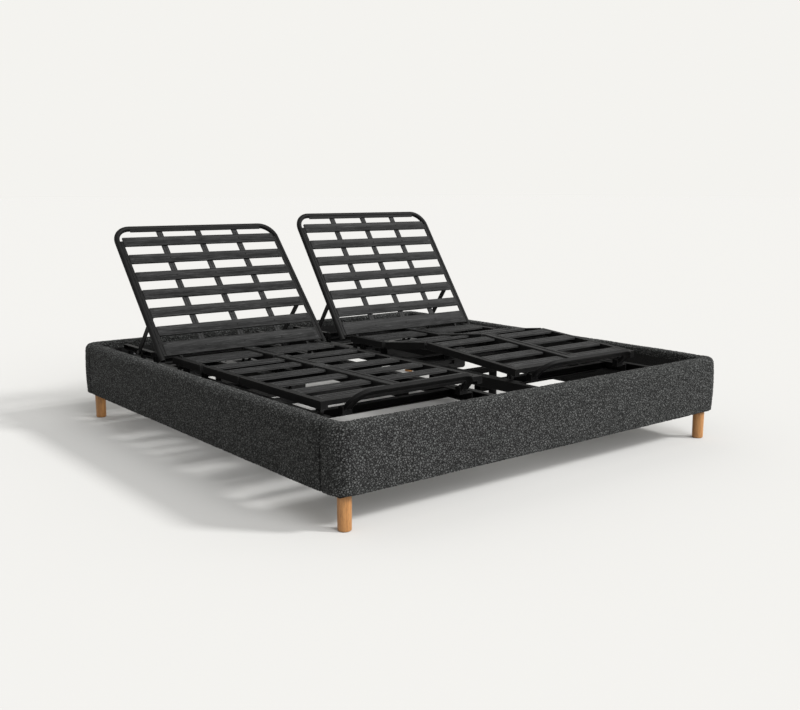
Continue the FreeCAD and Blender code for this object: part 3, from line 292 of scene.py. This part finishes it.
def powder_coat():
    """Matt graphite powder coat: fine orange peel, faint mottling, worn edges with a painted
    edge highlight.
    """
    tone, wear_and_glint_tone = 0.0042, 0.030
    coat = Shader("black_coat", 0.5, Specular_IOR_Level=0.07)
    peel = coat.noise(1400, detail=2)
    mottle = coat.noise(22, detail=4)
    dark = coat.ramp(mottle, ((0.3, (tone * 0.75, tone * 0.75, tone * 0.78)),
                              (0.7, (tone * 1.3,) * 3)))
    # Edge tone: worn coat, and a painted highlight where the edges catch the light.
    worn_glinting = coat.ramp(mottle, ((0.0, (wear_and_glint_tone,) * 3), (1.0, (wear_and_glint_tone * 1.5,) * 3)))
    coat.colour(coat.mix(coat.edge_wear_and_glint(), dark, worn_glinting))
    coat.roughness(mottle, 0.46, 0.62)
    coat.bump(peel, 0.14, 0.0003)
    return coat.material


def brushed_slat():
    """Pressed steel slats: black coat over brushing that runs along the slat; its light streaks
    are partly brushing and partly a painted sheen of brushed highlights.
    """
    along_brush, along_band = (0.22, 9, 9), (0.15, 5, 5)
    steel = Shader("brushed_black", 0.45, Specular_IOR_Level=0.07)
    brush = steel.noise(60, detail=6, roughness=0.72, stretch=along_brush)
    coarse = steel.noise(24, detail=3, roughness=0.6, stretch=along_band)
    mottle = steel.noise(16, detail=3)
    # Light streaks along the slat: brushing tone, and a painted sheen standing in for the
    # brushed highlights.
    streak_sheen = steel.ramp(brush, ((0.34, (0.0026, 0.0026, 0.0027)),
                                (0.52, (0.0088, 0.0089, 0.0091)),
                                (0.66, (0.036, 0.0365, 0.037))))
    band = steel.ramp(coarse, ((0.35, (0.55,)), (0.65, (1.35,))))
    cloud = steel.ramp(mottle, ((0.3, (0.8,)), (0.7, (1.15,))))
    # Edge tone: worn coat, and a painted highlight where the edges catch the light.
    worn_and_glinting = steel.ramp(mottle, ((0.0, (0.05,) * 3), (1.0, (0.09,) * 3)))
    streak_sheen = steel.multiply(steel.multiply(streak_sheen, band), cloud)
    steel.colour(steel.mix(steel.edge_wear_and_glint(), streak_sheen, worn_and_glinting))
    steel.roughness(brush, 0.42, 0.62)
    steel.bump(brush, 0.25, 0.0004)
    return steel.material


def zinc():
    """Zinc plated fasteners with a crystalline spangle."""
    plate = Shader("zinc", 0.35, metallic=0.9)
    spangle = plate.cells(420)
    plate.colour(plate.ramp(spangle, ((0.0, (0.34, 0.34, 0.36)), (1.0, (0.55, 0.55, 0.57)))))
    plate.roughness(spangle, 0.28, 0.46)
    plate.bump(spangle, 0.08, 0.0002)
    return plate.material


def moulded(name, tone, grain):
    """Moulded black plastic with a spark-eroded grain."""
    plastic = Shader(name, 0.5, Specular_IOR_Level=0.5)
    fine = plastic.noise(grain, detail=3, roughness=0.6)
    broad = plastic.noise(30, detail=3)
    plastic.colour(plastic.ramp(broad, ((0.3, (tone * 0.85,) * 3), (0.7, (tone * 1.2,) * 3))))
    plastic.roughness(fine, 0.42, 0.62)
    plastic.bump(fine, 0.22, 0.0004)
    return plastic.material


def particle_board():
    """Flat pressed chips, glued in random tones."""
    board = Shader("particle_board", 0.8)
    chips = board.cells(260, stretch=(1, 1, 1.6))
    glue = board.noise(90, detail=4)
    tone = board.ramp(chips, ((0.0, (0.42, 0.29, 0.17)), (0.5, (0.60, 0.45, 0.28)),
                              (1.0, (0.70, 0.56, 0.38))))
    stain = board.ramp(glue, ((0.3, (0.30, 0.20, 0.12)), (0.7, (0.70, 0.55, 0.38))))
    board.colour(board.mix(0.35, tone, stain))
    board.bump(chips, 0.3, 0.0006)
    return board.material


MATERIALS = {
    "boucle": boucle, "board": particle_board, "leg_wood": oak, "black_steel": powder_coat,
    "slat_steel": brushed_slat, "zinc_steel": zinc,
    "nylon": lambda: moulded("black_nylon", 0.022, 900),
    "drive_plastic": lambda: moulded("drive_plastic", 0.018, 700),
}
ROLLED_EDGES = {"black_steel": 0.0012, "slat_steel": 0.0010, "drive_plastic": 0.0018,
                "nylon": 0.0010, "zinc_steel": 0.0006, "board": 0.0010}


def roll_edges(item, width, segments, angle):
    """Round each edge that turns by more than an angle in degrees."""
    edge = item.modifiers.new("rolled_edge", "BEVEL")
    edge.width = width
    edge.segments = segments
    edge.limit_method = "ANGLE"
    edge.angle_limit = math.radians(angle)


def dress_nodes():
    """Give each CAD node its slot's material, and rolled edges where it is pressed or sawn."""
    finishes = {slot: build() for slot, build in MATERIALS.items()}
    for part in frame["record"]["subparts"]:
        item, slot = frame["nodes"][part["node"]], part["material_slot"]
        item.data.materials.clear()
        item.data.materials.append(finishes[slot])
        if slot in ROLLED_EDGES:
            roll_edges(item, ROLLED_EDGES[slot], 2, 40)
    return finishes


# ---------------------------------------------------------------- mesh helpers

def make_piece(name, mesh, matrix, slot, body, replaced=(), sharp=35):
    """Turn a bmesh in a section's own frame into a piece that rides on a body.
    Edges that turn by more than sharp degrees stay crisp; at 180 all are smooth."""
    mesh.transform(matrix)
    bmesh.ops.recalc_face_normals(mesh, faces=mesh.faces)
    data = bpy.data.meshes.new(name)
    mesh.to_mesh(data)
    mesh.free()
    data.polygons.foreach_set("use_smooth", [True] * len(data.polygons))
    if sharp < 180:
        data.set_sharp_from_angle(angle=math.radians(sharp))
    piece = bpy.data.objects.new(name, data)
    bpy.context.collection.objects.link(piece)
    data.materials.append(finishes[slot])
    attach(piece, body)
    if replaced:
        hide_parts(*replaced)
    return piece


def join_rings(mesh, rings):
    """Close the space between neighbouring rings of vertices."""
    count = len(rings[0])
    for first, second in zip(rings, rings[1:]):
        for index in range(count):
            other = (index + 1) % count
            mesh.faces.new((first[index], first[other], second[other], second[index]))


def skin(mesh, rings, caps=True):
    """Join rings of points into a tube, closed at its ends if it has caps."""
    made_rings = [[mesh.verts.new(point) for point in ring] for ring in rings]
    join_rings(mesh, made_rings)
    if caps:
        mesh.faces.new(made_rings[0])
        mesh.faces.new(list(reversed(made_rings[-1])))


def circle(centre, across, other, radius, segments):
    """Points round a centre, in the plane of two unit vectors."""
    turns = (2 * math.pi * step / segments for step in range(segments))
    return [centre + (across * math.cos(turn) + other * math.sin(turn)) * radius
            for turn in turns]


def bend(centre, radius, start, end, steps):
    """Stations round a level bend, from one angle in degrees to another: (spot, outward)."""
    stations = []
    for step in range(steps + 1):
        turn = math.radians(start + (end - start) * step / steps)
        out = Vector((math.cos(turn), math.sin(turn), 0))
        stations.append((centre + out * radius, out))
    return stations


def sweep(mesh, path, profile, caps=True):
    """Carry a profile of (out, up) points along a level path of (spot, outward) stations."""
    skin(mesh, [[spot + out * across + Vector((0, 0, rise)) for across, rise in profile]
                for spot, out in path], caps)


def lathe(mesh, profile, origin, axis, segments):
    """Spin (distance along the axis, radius) points; the ends are closed."""
    axis = Vector(axis).normalized()
    across = axis.orthogonal().normalized()
    other = axis.cross(across)
    skin(mesh, [circle(Vector(origin) + axis * along, across, other, radius, segments)
                for along, radius in profile])


def rivet(mesh, spot, radius, rise):
    """A domed head standing on a level surface."""
    lathe(mesh, [(-0.0005, radius), (rise * 0.35, radius), (rise * 0.8, radius * 0.72),
                 (rise, radius * 0.25)], spot, UP, 14)


def screw(mesh, spot, radius, rise, axis):
    """A pan head with a sunk socket."""
    lathe(mesh, [(-0.0005, radius * 0.98), (rise * 0.7, radius), (rise, radius * 0.82),
                 (rise, radius * 0.45), (rise * 0.35, radius * 0.42),
                 (rise * 0.3, radius * 0.05)], spot, axis, 18)


def bead(mesh, start, end, radius, seed):
    """A weld bead: overlapping ripples between two points, thinner at both ends."""
    ripple_step = 0.0025
    start, end = Vector(start), Vector(end)
    run = end - start
    axis = run.normalized()
    across = axis.orthogonal().normalized()
    other = axis.cross(across)
    steps = max(4, round(run.length / ripple_step))
    rings = []
    for step in range(steps + 1):
        part = step / steps
        taper = min(1.0, 0.35 + 6 * min(part, 1 - part))
        uneven = value_noise(Vector((step * 0.7, seed * 3.1, 0.5)))
        ripple = 0.82 + 0.18 * (step % 2) + 0.14 * uneven
        rings.append(circle(start + run * part, across, other, radius * taper * ripple, 8))
    skin(mesh, rings)


# ---------------------------------------------------------------- pressed slats

SHEET_WALL = 0.0016
MARGIN = 0.0005
GROOVE_SLOPE = 0.0035
PLAIN_END = 0.014
HALF_WAY, FULL_WAY = 0.004, 0.009
STRIP_STEP = 0.06

# Each deck section: the middles of its slats along its frame, and how wide they are.
DECK_ROWS = {"seat": ((-0.130,), 0.128), "thigh": ((-0.054, -0.186), 0.066),
             "leg": ((-0.052, -0.206, -0.360, -0.504), 0.066)}
DECK_LOW, DECK_TOP, SLAT_END = 0.015, 0.024, 0.356
DECK_GROOVE, DECK_GROOVE_SHARE, WIDE_PLATE = 0.0036, 0.17, 0.1
SPINE_RUNS = {"seat": (-0.276, -0.016), "thigh": (-0.304, -0.010), "leg": (-0.547, -0.006)}
SPINE_HALF, SPINE_TOP = 0.028, 0.027
CAP_SUNK, CAP_PROUD, CAP_GROOVE_HALF, CAP_GROOVE = 0.0006, 0.0034, 0.0095, 0.0030

BACK_LOW, BACK_TOP, BACK_HALF = 0.015, 0.024, 0.399
BACK_START, BACK_PLATE, BACK_END = 0.020, 0.070, 0.7195
BACK_ROWS, BACK_SLAT_WIDE, BACK_SLAT_FIRST, BACK_SLAT_PITCH = 6, 0.050, 0.150, 0.100
BACK_RIM, BACK_GROOVE = 0.0115, 0.0014
RIB_SPOTS, RIB_HALF, RIB_LOW = (-0.200, 0.0, 0.200), 0.015, 0.009
RIB_GROOVE_HALF, RIB_GROOVE = 0.0050, 0.0022

joints = {joint["name"]: joint for joint in frame["record"]["behaviour"]["joints"]}
ratios = {link["joint"]: link["ratio"] for link in frame["record"]["behaviour"]["couplings"]}


def section_frames(side):
    """The rest frame of each deck section, worked out from where its joints are."""
    hinge, strut, drop, knee = (Vector(joints[f"{side}_{name}_hinge"]["pos_m"])
                                for name in ("back", "strut", "thigh", "knee"))
    back = math.atan2(strut.z - hinge.z, strut.y - hinge.y)
    thigh = math.atan2(knee.z - drop.z, drop.y - knee.y)
    leg = (ratios[f"{side}_knee_hinge"] - 1) * thigh

    def at(spot, turn):
        return Matrix.Translation(spot) @ Matrix.Rotation(turn, 4, "X")

    return {"seat": at(hinge, 0), "back": at(hinge, back), "thigh": at(drop, -thigh),
            "leg": at(knee, leg)}


def pressed_strip(mesh, along, across, low, high, grooves, depth, lengthways="x", solid=False):
    """A pressed tray with sunk grooves: grooves are (centre, half width) across the strip.
    It is open below unless it is solid."""
    cuts = {across[0]: 0.0, across[1]: 0.0}
    for centre, half in grooves:
        for offset, drop in ((-half - GROOVE_SLOPE, 0.0), (-half, 1.0),
                             (half, 1.0), (half + GROOVE_SLOPE, 0.0)):
            cuts[centre + offset] = drop
    start, end = along
    sunk_from = start + PLAIN_END
    lengths = [(start, 0.0), (sunk_from, 0.0), (sunk_from + HALF_WAY, 0.6),
               (sunk_from + FULL_WAY, 1.0)]
    inner = end - start - 2 * (PLAIN_END + FULL_WAY)
    steps = max(2, round(inner / STRIP_STEP))
    lengths += [(sunk_from + FULL_WAY + inner * step / steps, 1.0) for step in range(1, steps)]
    lengths += [(end - (spot - start), drop) for spot, drop in reversed(lengths[:4])]

    def place(a, b, c):
        return (a, b, c) if lengthways == "x" else (b, a, c)

    rows = [[mesh.verts.new(place(a, b, high - depth * sunk * drop))
             for b, drop in sorted(cuts.items())] for a, sunk in lengths]
    for first, second in zip(rows, rows[1:]):
        for index in range(len(first) - 1):
            mesh.faces.new((first[index], first[index + 1], second[index + 1], second[index]))
    border = ([row[0] for row in rows] + rows[-1][1:-1] + [row[-1] for row in reversed(rows)]
              + list(reversed(rows[0][1:-1])))
    lower = [mesh.verts.new((vert.co.x, vert.co.y, low)) for vert in border]
    join_rings(mesh, (border, lower))
    if solid:
        mesh.faces.new(list(reversed(lower)))


def press(piece, edge):
    """Roll a pressed tray's edges, then give the sheet its thickness."""
    roll_edges(piece, edge, 3, 60)
    sheet = piece.modifiers.new("sheet", "SOLIDIFY")
    sheet.thickness = SHEET_WALL
    sheet.offset = -1


def deck_slats(side, frames):
    """The slats of the seat, thigh and leg sections, their welds, and the caps of the spine."""
    weld, weld_sunk, weld_inset = 0.0022, 0.001, 0.006
    weld_spots = (SPINE_HALF + 0.0035, SLAT_END - 0.001)
    for section, (centres, width) in DECK_ROWS.items():
        body = f"{side}_carriage" if section == "seat" else f"{side}_{section}"
        mesh, marks, strip = bmesh.new(), bmesh.new(), bmesh.new()
        count = 2 if width < WIDE_PLATE else 4
        pitch = width / (count + 1)
        for row, centre in enumerate(centres):
            across = (centre - width / 2, centre + width / 2)
            grooves = [(across[0] + pitch * (step + 1), pitch * DECK_GROOVE_SHARE)
                       for step in range(count)]
            for sign in (-1, 1):
                along = sorted((sign * (SPINE_HALF + MARGIN), sign * (SLAT_END - MARGIN)))
                pressed_strip(mesh, along, across, DECK_LOW, DECK_TOP, grooves, DECK_GROOVE)
                for end in weld_spots:
                    bead(marks, (sign * end, across[0] + weld_inset, DECK_TOP - weld_sunk),
                         (sign * end, across[1] - weld_inset, DECK_TOP - weld_sunk),
                         weld, row + sign)
        press(make_piece(f"{side}_{section}_pressed_slats", mesh, frames[section], "slat_steel",
                         body, (f"{side}_{section}_slats",)), 0.0032)
        make_piece(f"{side}_{section}_welds", marks, frames[section], "black_steel", body,
                   sharp=180)
        pressed_strip(strip, SPINE_RUNS[section], (-SPINE_HALF + MARGIN, SPINE_HALF - MARGIN),
                      SPINE_TOP - CAP_SUNK, SPINE_TOP + CAP_PROUD, [(0.0, CAP_GROOVE_HALF)],
                      CAP_GROOVE, "y", True)
        cap = make_piece(f"{side}_{section}_spine_cap", strip, frames[section], "slat_steel",
                         body)
        roll_edges(cap, 0.0015, 3, 50)


def back_slats(side, frames):
    """The plate, slats and ribs of the back, with their rivets and welds."""
    rivet_radius, rivet_rise = 0.0042, 0.0016
    weld, weld_inset = 0.0024, 0.005
    weld_x, weld_z = BACK_HALF - 0.001, BACK_LOW + 0.0068
    body, place = f"{side}_back", frames["back"]
    mesh, marks, ribs = bmesh.new(), bmesh.new(), bmesh.new()
    rows = [(BACK_START, BACK_START + BACK_PLATE)]
    for index in range(BACK_ROWS):
        middle = BACK_SLAT_FIRST + index * BACK_SLAT_PITCH
        rows.append((middle - BACK_SLAT_WIDE / 2, middle + BACK_SLAT_WIDE / 2))
    for index, (start, end) in enumerate(rows):
        middle = (start + end) / 2
        pressed_strip(mesh, (-BACK_HALF + MARGIN, BACK_HALF - MARGIN), (start, end),
                      BACK_LOW + 0.0002, BACK_TOP, [(middle, (end - start) / 2 - BACK_RIM)],
                      BACK_GROOVE)
        for spot in RIB_SPOTS:
            rivet(marks, (spot, middle, BACK_TOP - BACK_GROOVE), rivet_radius, rivet_rise)
        for sign in (-1, 1):
            bead(marks, (sign * weld_x, start + weld_inset, weld_z),
                 (sign * weld_x, end - weld_inset, weld_z), weld, index)
    for spot in RIB_SPOTS:
        pressed_strip(ribs, (BACK_START, BACK_END), (spot - RIB_HALF, spot + RIB_HALF), RIB_LOW,
                      BACK_LOW, [(spot, RIB_GROOVE_HALF)], RIB_GROOVE, "y")
    press(make_piece(f"{side}_back_pressed_slats", mesh, place, "slat_steel", body,
                     (f"{side}_back_slats",)), 0.0030)
    press(make_piece(f"{side}_back_pressed_ribs", ribs, place, "slat_steel", body,
                     (f"{side}_back_ribs",)), 0.0018)
    make_piece(f"{side}_back_rivets", marks, place, "black_steel", body)


# ---------------------------------------------------------------- retainer, legs, drive

RETAINER_HALF, RETAINER_LENGTH, RETAINER_BEND = 0.275, 0.102, 0.062
RETAINER_WIDE, RETAINER_THIN, RETAINER_RIM, RETAINER_DISH = 0.017, 0.008, 0.0042, 0.0022
RETAINER_START, RETAINER_DROP, RETAINER_TILT = 0.566, 0.024, 135.4
SOCKET_SIZE, SOCKET_DROP = (0.040, 0.028, 0.029), 0.0205
LEG_EDGE = 0.005
SEAM_RISE, SEAM_HALF, SEAM_PROUD, DRIVE_CORNER = 0.062, 0.0020, 0.0012, 0.014
# Guide rods: where each pair starts and ends from the back hinge, towards the head.
ROD_RUNS, ROD_HALF_GAP, ROD_RADIUS, ROD_DROP = (
    ((-0.1045, 0.0705), (-0.3365, -0.2075)), 0.024, 0.003, 0.0042)


def retainer(side, frames):
    """The flat tube at the foot of the deck that keeps the mattress in place."""
    tilt = (Matrix.Translation((0, -RETAINER_START, -RETAINER_DROP))
            @ Matrix.Rotation(math.radians(RETAINER_TILT), 4, "X"))
    bend_x, bend_y = RETAINER_HALF - RETAINER_BEND, RETAINER_LENGTH - RETAINER_BEND
    path = [(Vector((-RETAINER_HALF, y, 0)), Vector((-1, 0, 0))) for y in (0.0, bend_y / 2)]
    path += bend(Vector((-bend_x, bend_y, 0)), RETAINER_BEND, 180, 90, 12)
    path.append((Vector((0, RETAINER_LENGTH, 0)), Vector((0, 1, 0))))
    path += [(Vector((-spot.x, spot.y, 0)), Vector((-out.x, out.y, 0)))
             for spot, out in reversed(path[:-1])]
    w, t, rim, dish = RETAINER_WIDE, RETAINER_THIN, RETAINER_RIM, RETAINER_DISH
    profile = [(-w + 0.002, -t), (w - 0.002, -t), (w, -t + 0.002), (w, t - 0.002),
               (w - 0.0015, t), (w - rim, t), (w - rim - 0.0012, t - dish),
               (-w + rim + 0.0012, t - dish), (-w + rim, t), (-w + 0.0015, t),
               (-w, t - 0.002), (-w, -t + 0.002)]
    mesh = bmesh.new()
    sweep(mesh, path, profile)
    mesh.transform(tilt)
    for sign in (-1, 1):
        middle = Vector((sign * RETAINER_HALF, -RETAINER_START, -SOCKET_DROP))
        block = bmesh.ops.create_cube(mesh, size=1.0)["verts"]
        bmesh.ops.scale(mesh, vec=SOCKET_SIZE, verts=block)
        bmesh.ops.translate(mesh, vec=middle, verts=block)
        for spot in (-0.008, 0.008):
            screw(mesh, middle + Vector((spot, -0.014, 0.004)), 0.0045, 0.003, (0, -1, 0))
    piece = make_piece(f"{side}_retainer", mesh, frames["leg"], "black_steel", f"{side}_leg",
                       (f"{side}_retainer_bar",), sharp=30)
    roll_edges(piece, 0.0009, 2, 40)


def wooden_leg(name):
    """A turned leg with a fine bead line below its shoulder and a softly rounded foot."""
    low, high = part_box(name)
    middle = (low + high) / 2
    top, tall = (high.x - low.x) / 2, high.z
    foot, line = top - 0.001, top - 0.0007
    profile = [(0.0, foot - LEG_EDGE), (0.0006, foot - LEG_EDGE * 0.55),
               (0.0020, foot - LEG_EDGE * 0.18), (0.0048, foot), (0.012, foot + 0.0001),
               (tall * 0.5, (foot + top) / 2), (tall - 0.0100, top), (tall - 0.0093, line),
               (tall - 0.0083, line), (tall - 0.0076, top), (tall - 0.0010, top),
               (tall, top - 0.0010)]
    mesh = bmesh.new()
    lathe(mesh, profile, (middle.x, middle.y, 0), UP, 64)
    make_piece(f"{name}_turned", mesh, Matrix(), "leg_wood", "surround", (name,), sharp=40)


def drive_details(side):
    """Parting seam, plugs, screws and guide rods of the drive under the seat."""
    plug = [(-0.001, 0.0105), (0.002, 0.010), (0.003, 0.008)]
    plug_inset, plug_rise, screw_inset = 0.045, 0.03, 0.02
    low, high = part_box(f"{side}_drive_housing")
    middle = (low + high) / 2
    path = []
    for sx, sy, first in ((1, 1, 0), (-1, 1, 90), (-1, -1, 180), (1, -1, 270)):
        centre = Vector((high.x - DRIVE_CORNER if sx > 0 else low.x + DRIVE_CORNER,
                         high.y - DRIVE_CORNER if sy > 0 else low.y + DRIVE_CORNER,
                         low.z + SEAM_RISE))
        path += bend(centre, DRIVE_CORNER, first, first + 90, 6)
    path.append(path[0])
    profile = ((-0.0010, -SEAM_HALF), (SEAM_PROUD * 0.6, -SEAM_HALF), (SEAM_PROUD, -0.0008),
               (SEAM_PROUD, 0.0008), (SEAM_PROUD * 0.6, SEAM_HALF), (-0.0010, SEAM_HALF))
    mesh = bmesh.new()
    sweep(mesh, path, profile, caps=False)
    for y in (low.y + plug_inset, middle.y, high.y - plug_inset):
        for face, sign in ((low.x, -1), (high.x, 1)):
            lathe(mesh, plug, (face, y, low.z + plug_rise), (sign, 0, 0), 18)
    for y in (low.y + screw_inset, middle.y, high.y - screw_inset):
        for x in (low.x + screw_inset, high.x - screw_inset):
            screw(mesh, (x, y, high.z), 0.0042, 0.0024, UP)
    make_piece(f"{side}_drive_trim", mesh, Matrix(), "drive_plastic", f"{side}_carriage")

    rods = bmesh.new()
    hinge = Vector(joints[f"{side}_back_hinge"]["pos_m"])
    rod_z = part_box(f"{side}_back_thrust_block")[0].z - ROD_DROP
    for start, end in ROD_RUNS:
        for across in (-ROD_HALF_GAP, ROD_HALF_GAP):
            lathe(rods, [(0, ROD_RADIUS), (end - start, ROD_RADIUS)],
                  (hinge.x + across, hinge.y + start, rod_z), (0, 1, 0), 16)
    make_piece(f"{side}_guide_rods", rods, Matrix(), "zinc_steel", f"{side}_carriage")


# ---------------------------------------------------------------- padded rails

LOOP, LOOP_RISE = 0.0068, 0.0036
PILE_STEP, LINING_STEP = 0.0034, 0.020
CORNER, CORNER_STEPS = 0.068, 30
TOP_ROUND, HEM_ROUND, INNER_ROUND = 0.026, 0.0065, 0.014
CROWN, TOP_CROWN = 0.0035, 0.001
TURN_IN = 0.034
SEAM_PINCH, SEAM_WIDTH, SEAM_PULL, PULL_REACH = 0.0036, 0.005, 0.0012, 0.03
PARTING_WIDTH = 0.0042
SWELL, SWELL_SCALE = 0.0010, 6.0


def spread(start, end, step):
    """Even shares of the way between two points in a plane, without the last."""
    steps = max(1, round(math.dist(start, end) / step))
    for index in range(steps):
        part = index / steps
        yield (part, start[0] + (end[0] - start[0]) * part,
               start[1] + (end[1] - start[1]) * part)


def rail_outline(thick, tall):
    """Points of the rail's cross-section: (out, up, lining) from the hem, anticlockwise.
    The outer face is crowned, the top is rounded and the inner face is flat lining."""
    points = []

    def arc(cx, cy, radius, start, end, steps):
        for index in range(steps):
            angle = math.radians(start + (end - start) * index / steps)
            points.append((cx + radius * math.cos(angle), cy + radius * math.sin(angle), 0.0))

    def line(start, end, bulge=(0.0, 0.0)):
        for part, out, up in spread(start, end, PILE_STEP):
            lift = math.sin(math.pi * part)
            points.append((out + bulge[0] * lift, up + bulge[1] * lift, 0.0))

    def plain(start, end):
        points.extend((out, up, 1.0) for _, out, up in spread(start, end, LINING_STEP))

    arc(thick - HEM_ROUND, HEM_ROUND, HEM_ROUND, -90, 0, 6)
    line((thick, HEM_ROUND), (thick, tall - TOP_ROUND), (CROWN, 0))
    arc(thick - TOP_ROUND, tall - TOP_ROUND, TOP_ROUND, 0, 90, 12)
    line((thick - TOP_ROUND, tall), (INNER_ROUND, tall), (0, TOP_CROWN))
    arc(INNER_ROUND, tall - INNER_ROUND, INNER_ROUND, 90, 180, 6)
    line((0, tall - INNER_ROUND), (0, tall - TURN_IN))
    plain((0, tall - TURN_IN), (0, 0.002))
    plain((0, 0), (thick - HEM_ROUND, 0))
    return points


def end_rail_path(name):
    """Stations along an end rail, round its two corners: (x, y, outward x, outward y)."""
    low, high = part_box(name)
    sign = END_RAILS[name]
    left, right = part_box("left_rail_cover")[1].x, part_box("right_rail_cover")[0].x
    thick = left - low.x
    inner = CORNER - thick
    face = high.y - thick if sign > 0 else low.y + thick
    seam = low.y if sign > 0 else high.y
    centre_y = face - sign * inner
    stations = []

    def straight(start, end, normal):
        stations.extend((x, y, *normal) for _, x, y in spread(start, end, PILE_STEP))

    def corner(cx, start, end):
        for index in range(CORNER_STEPS):
            angle = math.radians(start + (end - start) * index / CORNER_STEPS)
            stations.append((cx + inner * math.cos(angle), centre_y + inner * math.sin(angle),
                             math.cos(angle), math.sin(angle)))

    quarter = 90 * sign
    straight((left, seam), (left, centre_y), (-1, 0))
    corner(left + inner, 180, 180 - quarter)
    straight((left + inner, face), (right - inner, face), (0, sign))
    corner(right - inner, quarter, 0)
    straight((right, centre_y), (right, seam), (1, 0))
    stations.append((right, seam, 1, 0))
    return stations


def side_rail_path(name):
    """Stations along a side rail, straight between its seams."""
    low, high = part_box(name)
    sign = SIDE_RAILS[name]
    face = high.x if sign < 0 else low.x
    steps = round((high.y - low.y) / PILE_STEP)
    return [(face, low.y + (high.y - low.y) * index / steps, sign, 0)
            for index in range(steps + 1)]


def boucle_height(point):
    """Height of the looped pile at a point, from 0 in the gaps to 1 on the loops."""
    warped = point / LOOP
    slow = warped * 0.45
    drift = Vector((value_noise(slow), value_noise(slow + Vector((31, 7, 3))),
                    value_noise(slow + Vector((5, 47, 11)))))
    curl = value_noise(warped + drift * 1.2)
    return math.sqrt(min(1.0, abs(curl) * 2.4))


def padded_rail(name, stations):
    """A rail cover as one closed padded form, pinched at its seams and looped all over."""
    low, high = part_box(name)
    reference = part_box("left_rail_cover")
    thick, tall = reference[1].x - reference[0].x, high.z - low.z
    outline = rail_outline(thick, tall)
    ends = (Vector(stations[0][:2]), Vector(stations[-1][:2]))
    middle = Vector((thick / 2, tall / 2))

    mesh = bmesh.new()
    lining = mesh.verts.layers.float.new("lining")
    pile = mesh.verts.layers.float.new("pile")
    rings = []
    for x, y, nx, ny in stations:
        near = min((Vector((x, y)) - end).length for end in ends)
        pinch = (SEAM_PINCH * math.exp(-((near / SEAM_WIDTH) ** 2))
                 + SEAM_PULL * math.exp(-near / PULL_REACH))
        parting = math.exp(-((near / PARTING_WIDTH) ** 2))
        ring = []
        for out, up, plain in outline:
            offset = Vector((out, up)) - middle
            out, up = middle + Vector(
                (max(0.0, abs(offset.x) - pinch) * math.copysign(1, offset.x),
                 max(0.0, abs(offset.y) - pinch * 0.8) * math.copysign(1, offset.y)))
            vert = mesh.verts.new((x + nx * out, y + ny * out, low.z + up))
            vert[lining] = plain
            vert[pile] = 1 - parting
            ring.append(vert)
        rings.append(ring)
    join_rings(mesh, rings)
    mesh.faces.new(list(reversed(rings[0])))
    mesh.faces.new(rings[-1])
    bmesh.ops.recalc_face_normals(mesh, faces=mesh.faces)
    mesh.normal_update()
    for vert in mesh.verts:
        if vert[lining] > 0.5:
            continue
        height = boucle_height(vert.co) * vert[pile]
        # The stored height also sets the boucle's painted shade in the gaps and along the
        # seams, and its painted highlight on the loops.
        vert[pile] = height
        swell = SWELL * value_noise(vert.co * SWELL_SCALE)
        vert.co += vert.normal * ((height - 0.5) * LOOP_RISE + swell)
    piece = make_piece(f"{name}_padded", mesh, Matrix(), "boucle", "surround", (name,),
                       sharp=180)


# ---------------------------------------------------------------- build

make_camera()
make_studio()
finishes = dress_nodes()
for rail in END_RAILS:
    padded_rail(rail, end_rail_path(rail))
for rail in SIDE_RAILS:
    padded_rail(rail, side_rail_path(rail))
for leg in WOODEN_LEGS:
    wooden_leg(leg)
for side in SIDES:
    sections = section_frames(side)
    deck_slats(side, sections)
    back_slats(side, sections)
    retainer(side, sections)
    drive_details(side)

bpy.context.scene.view_settings.view_transform = "Standard"
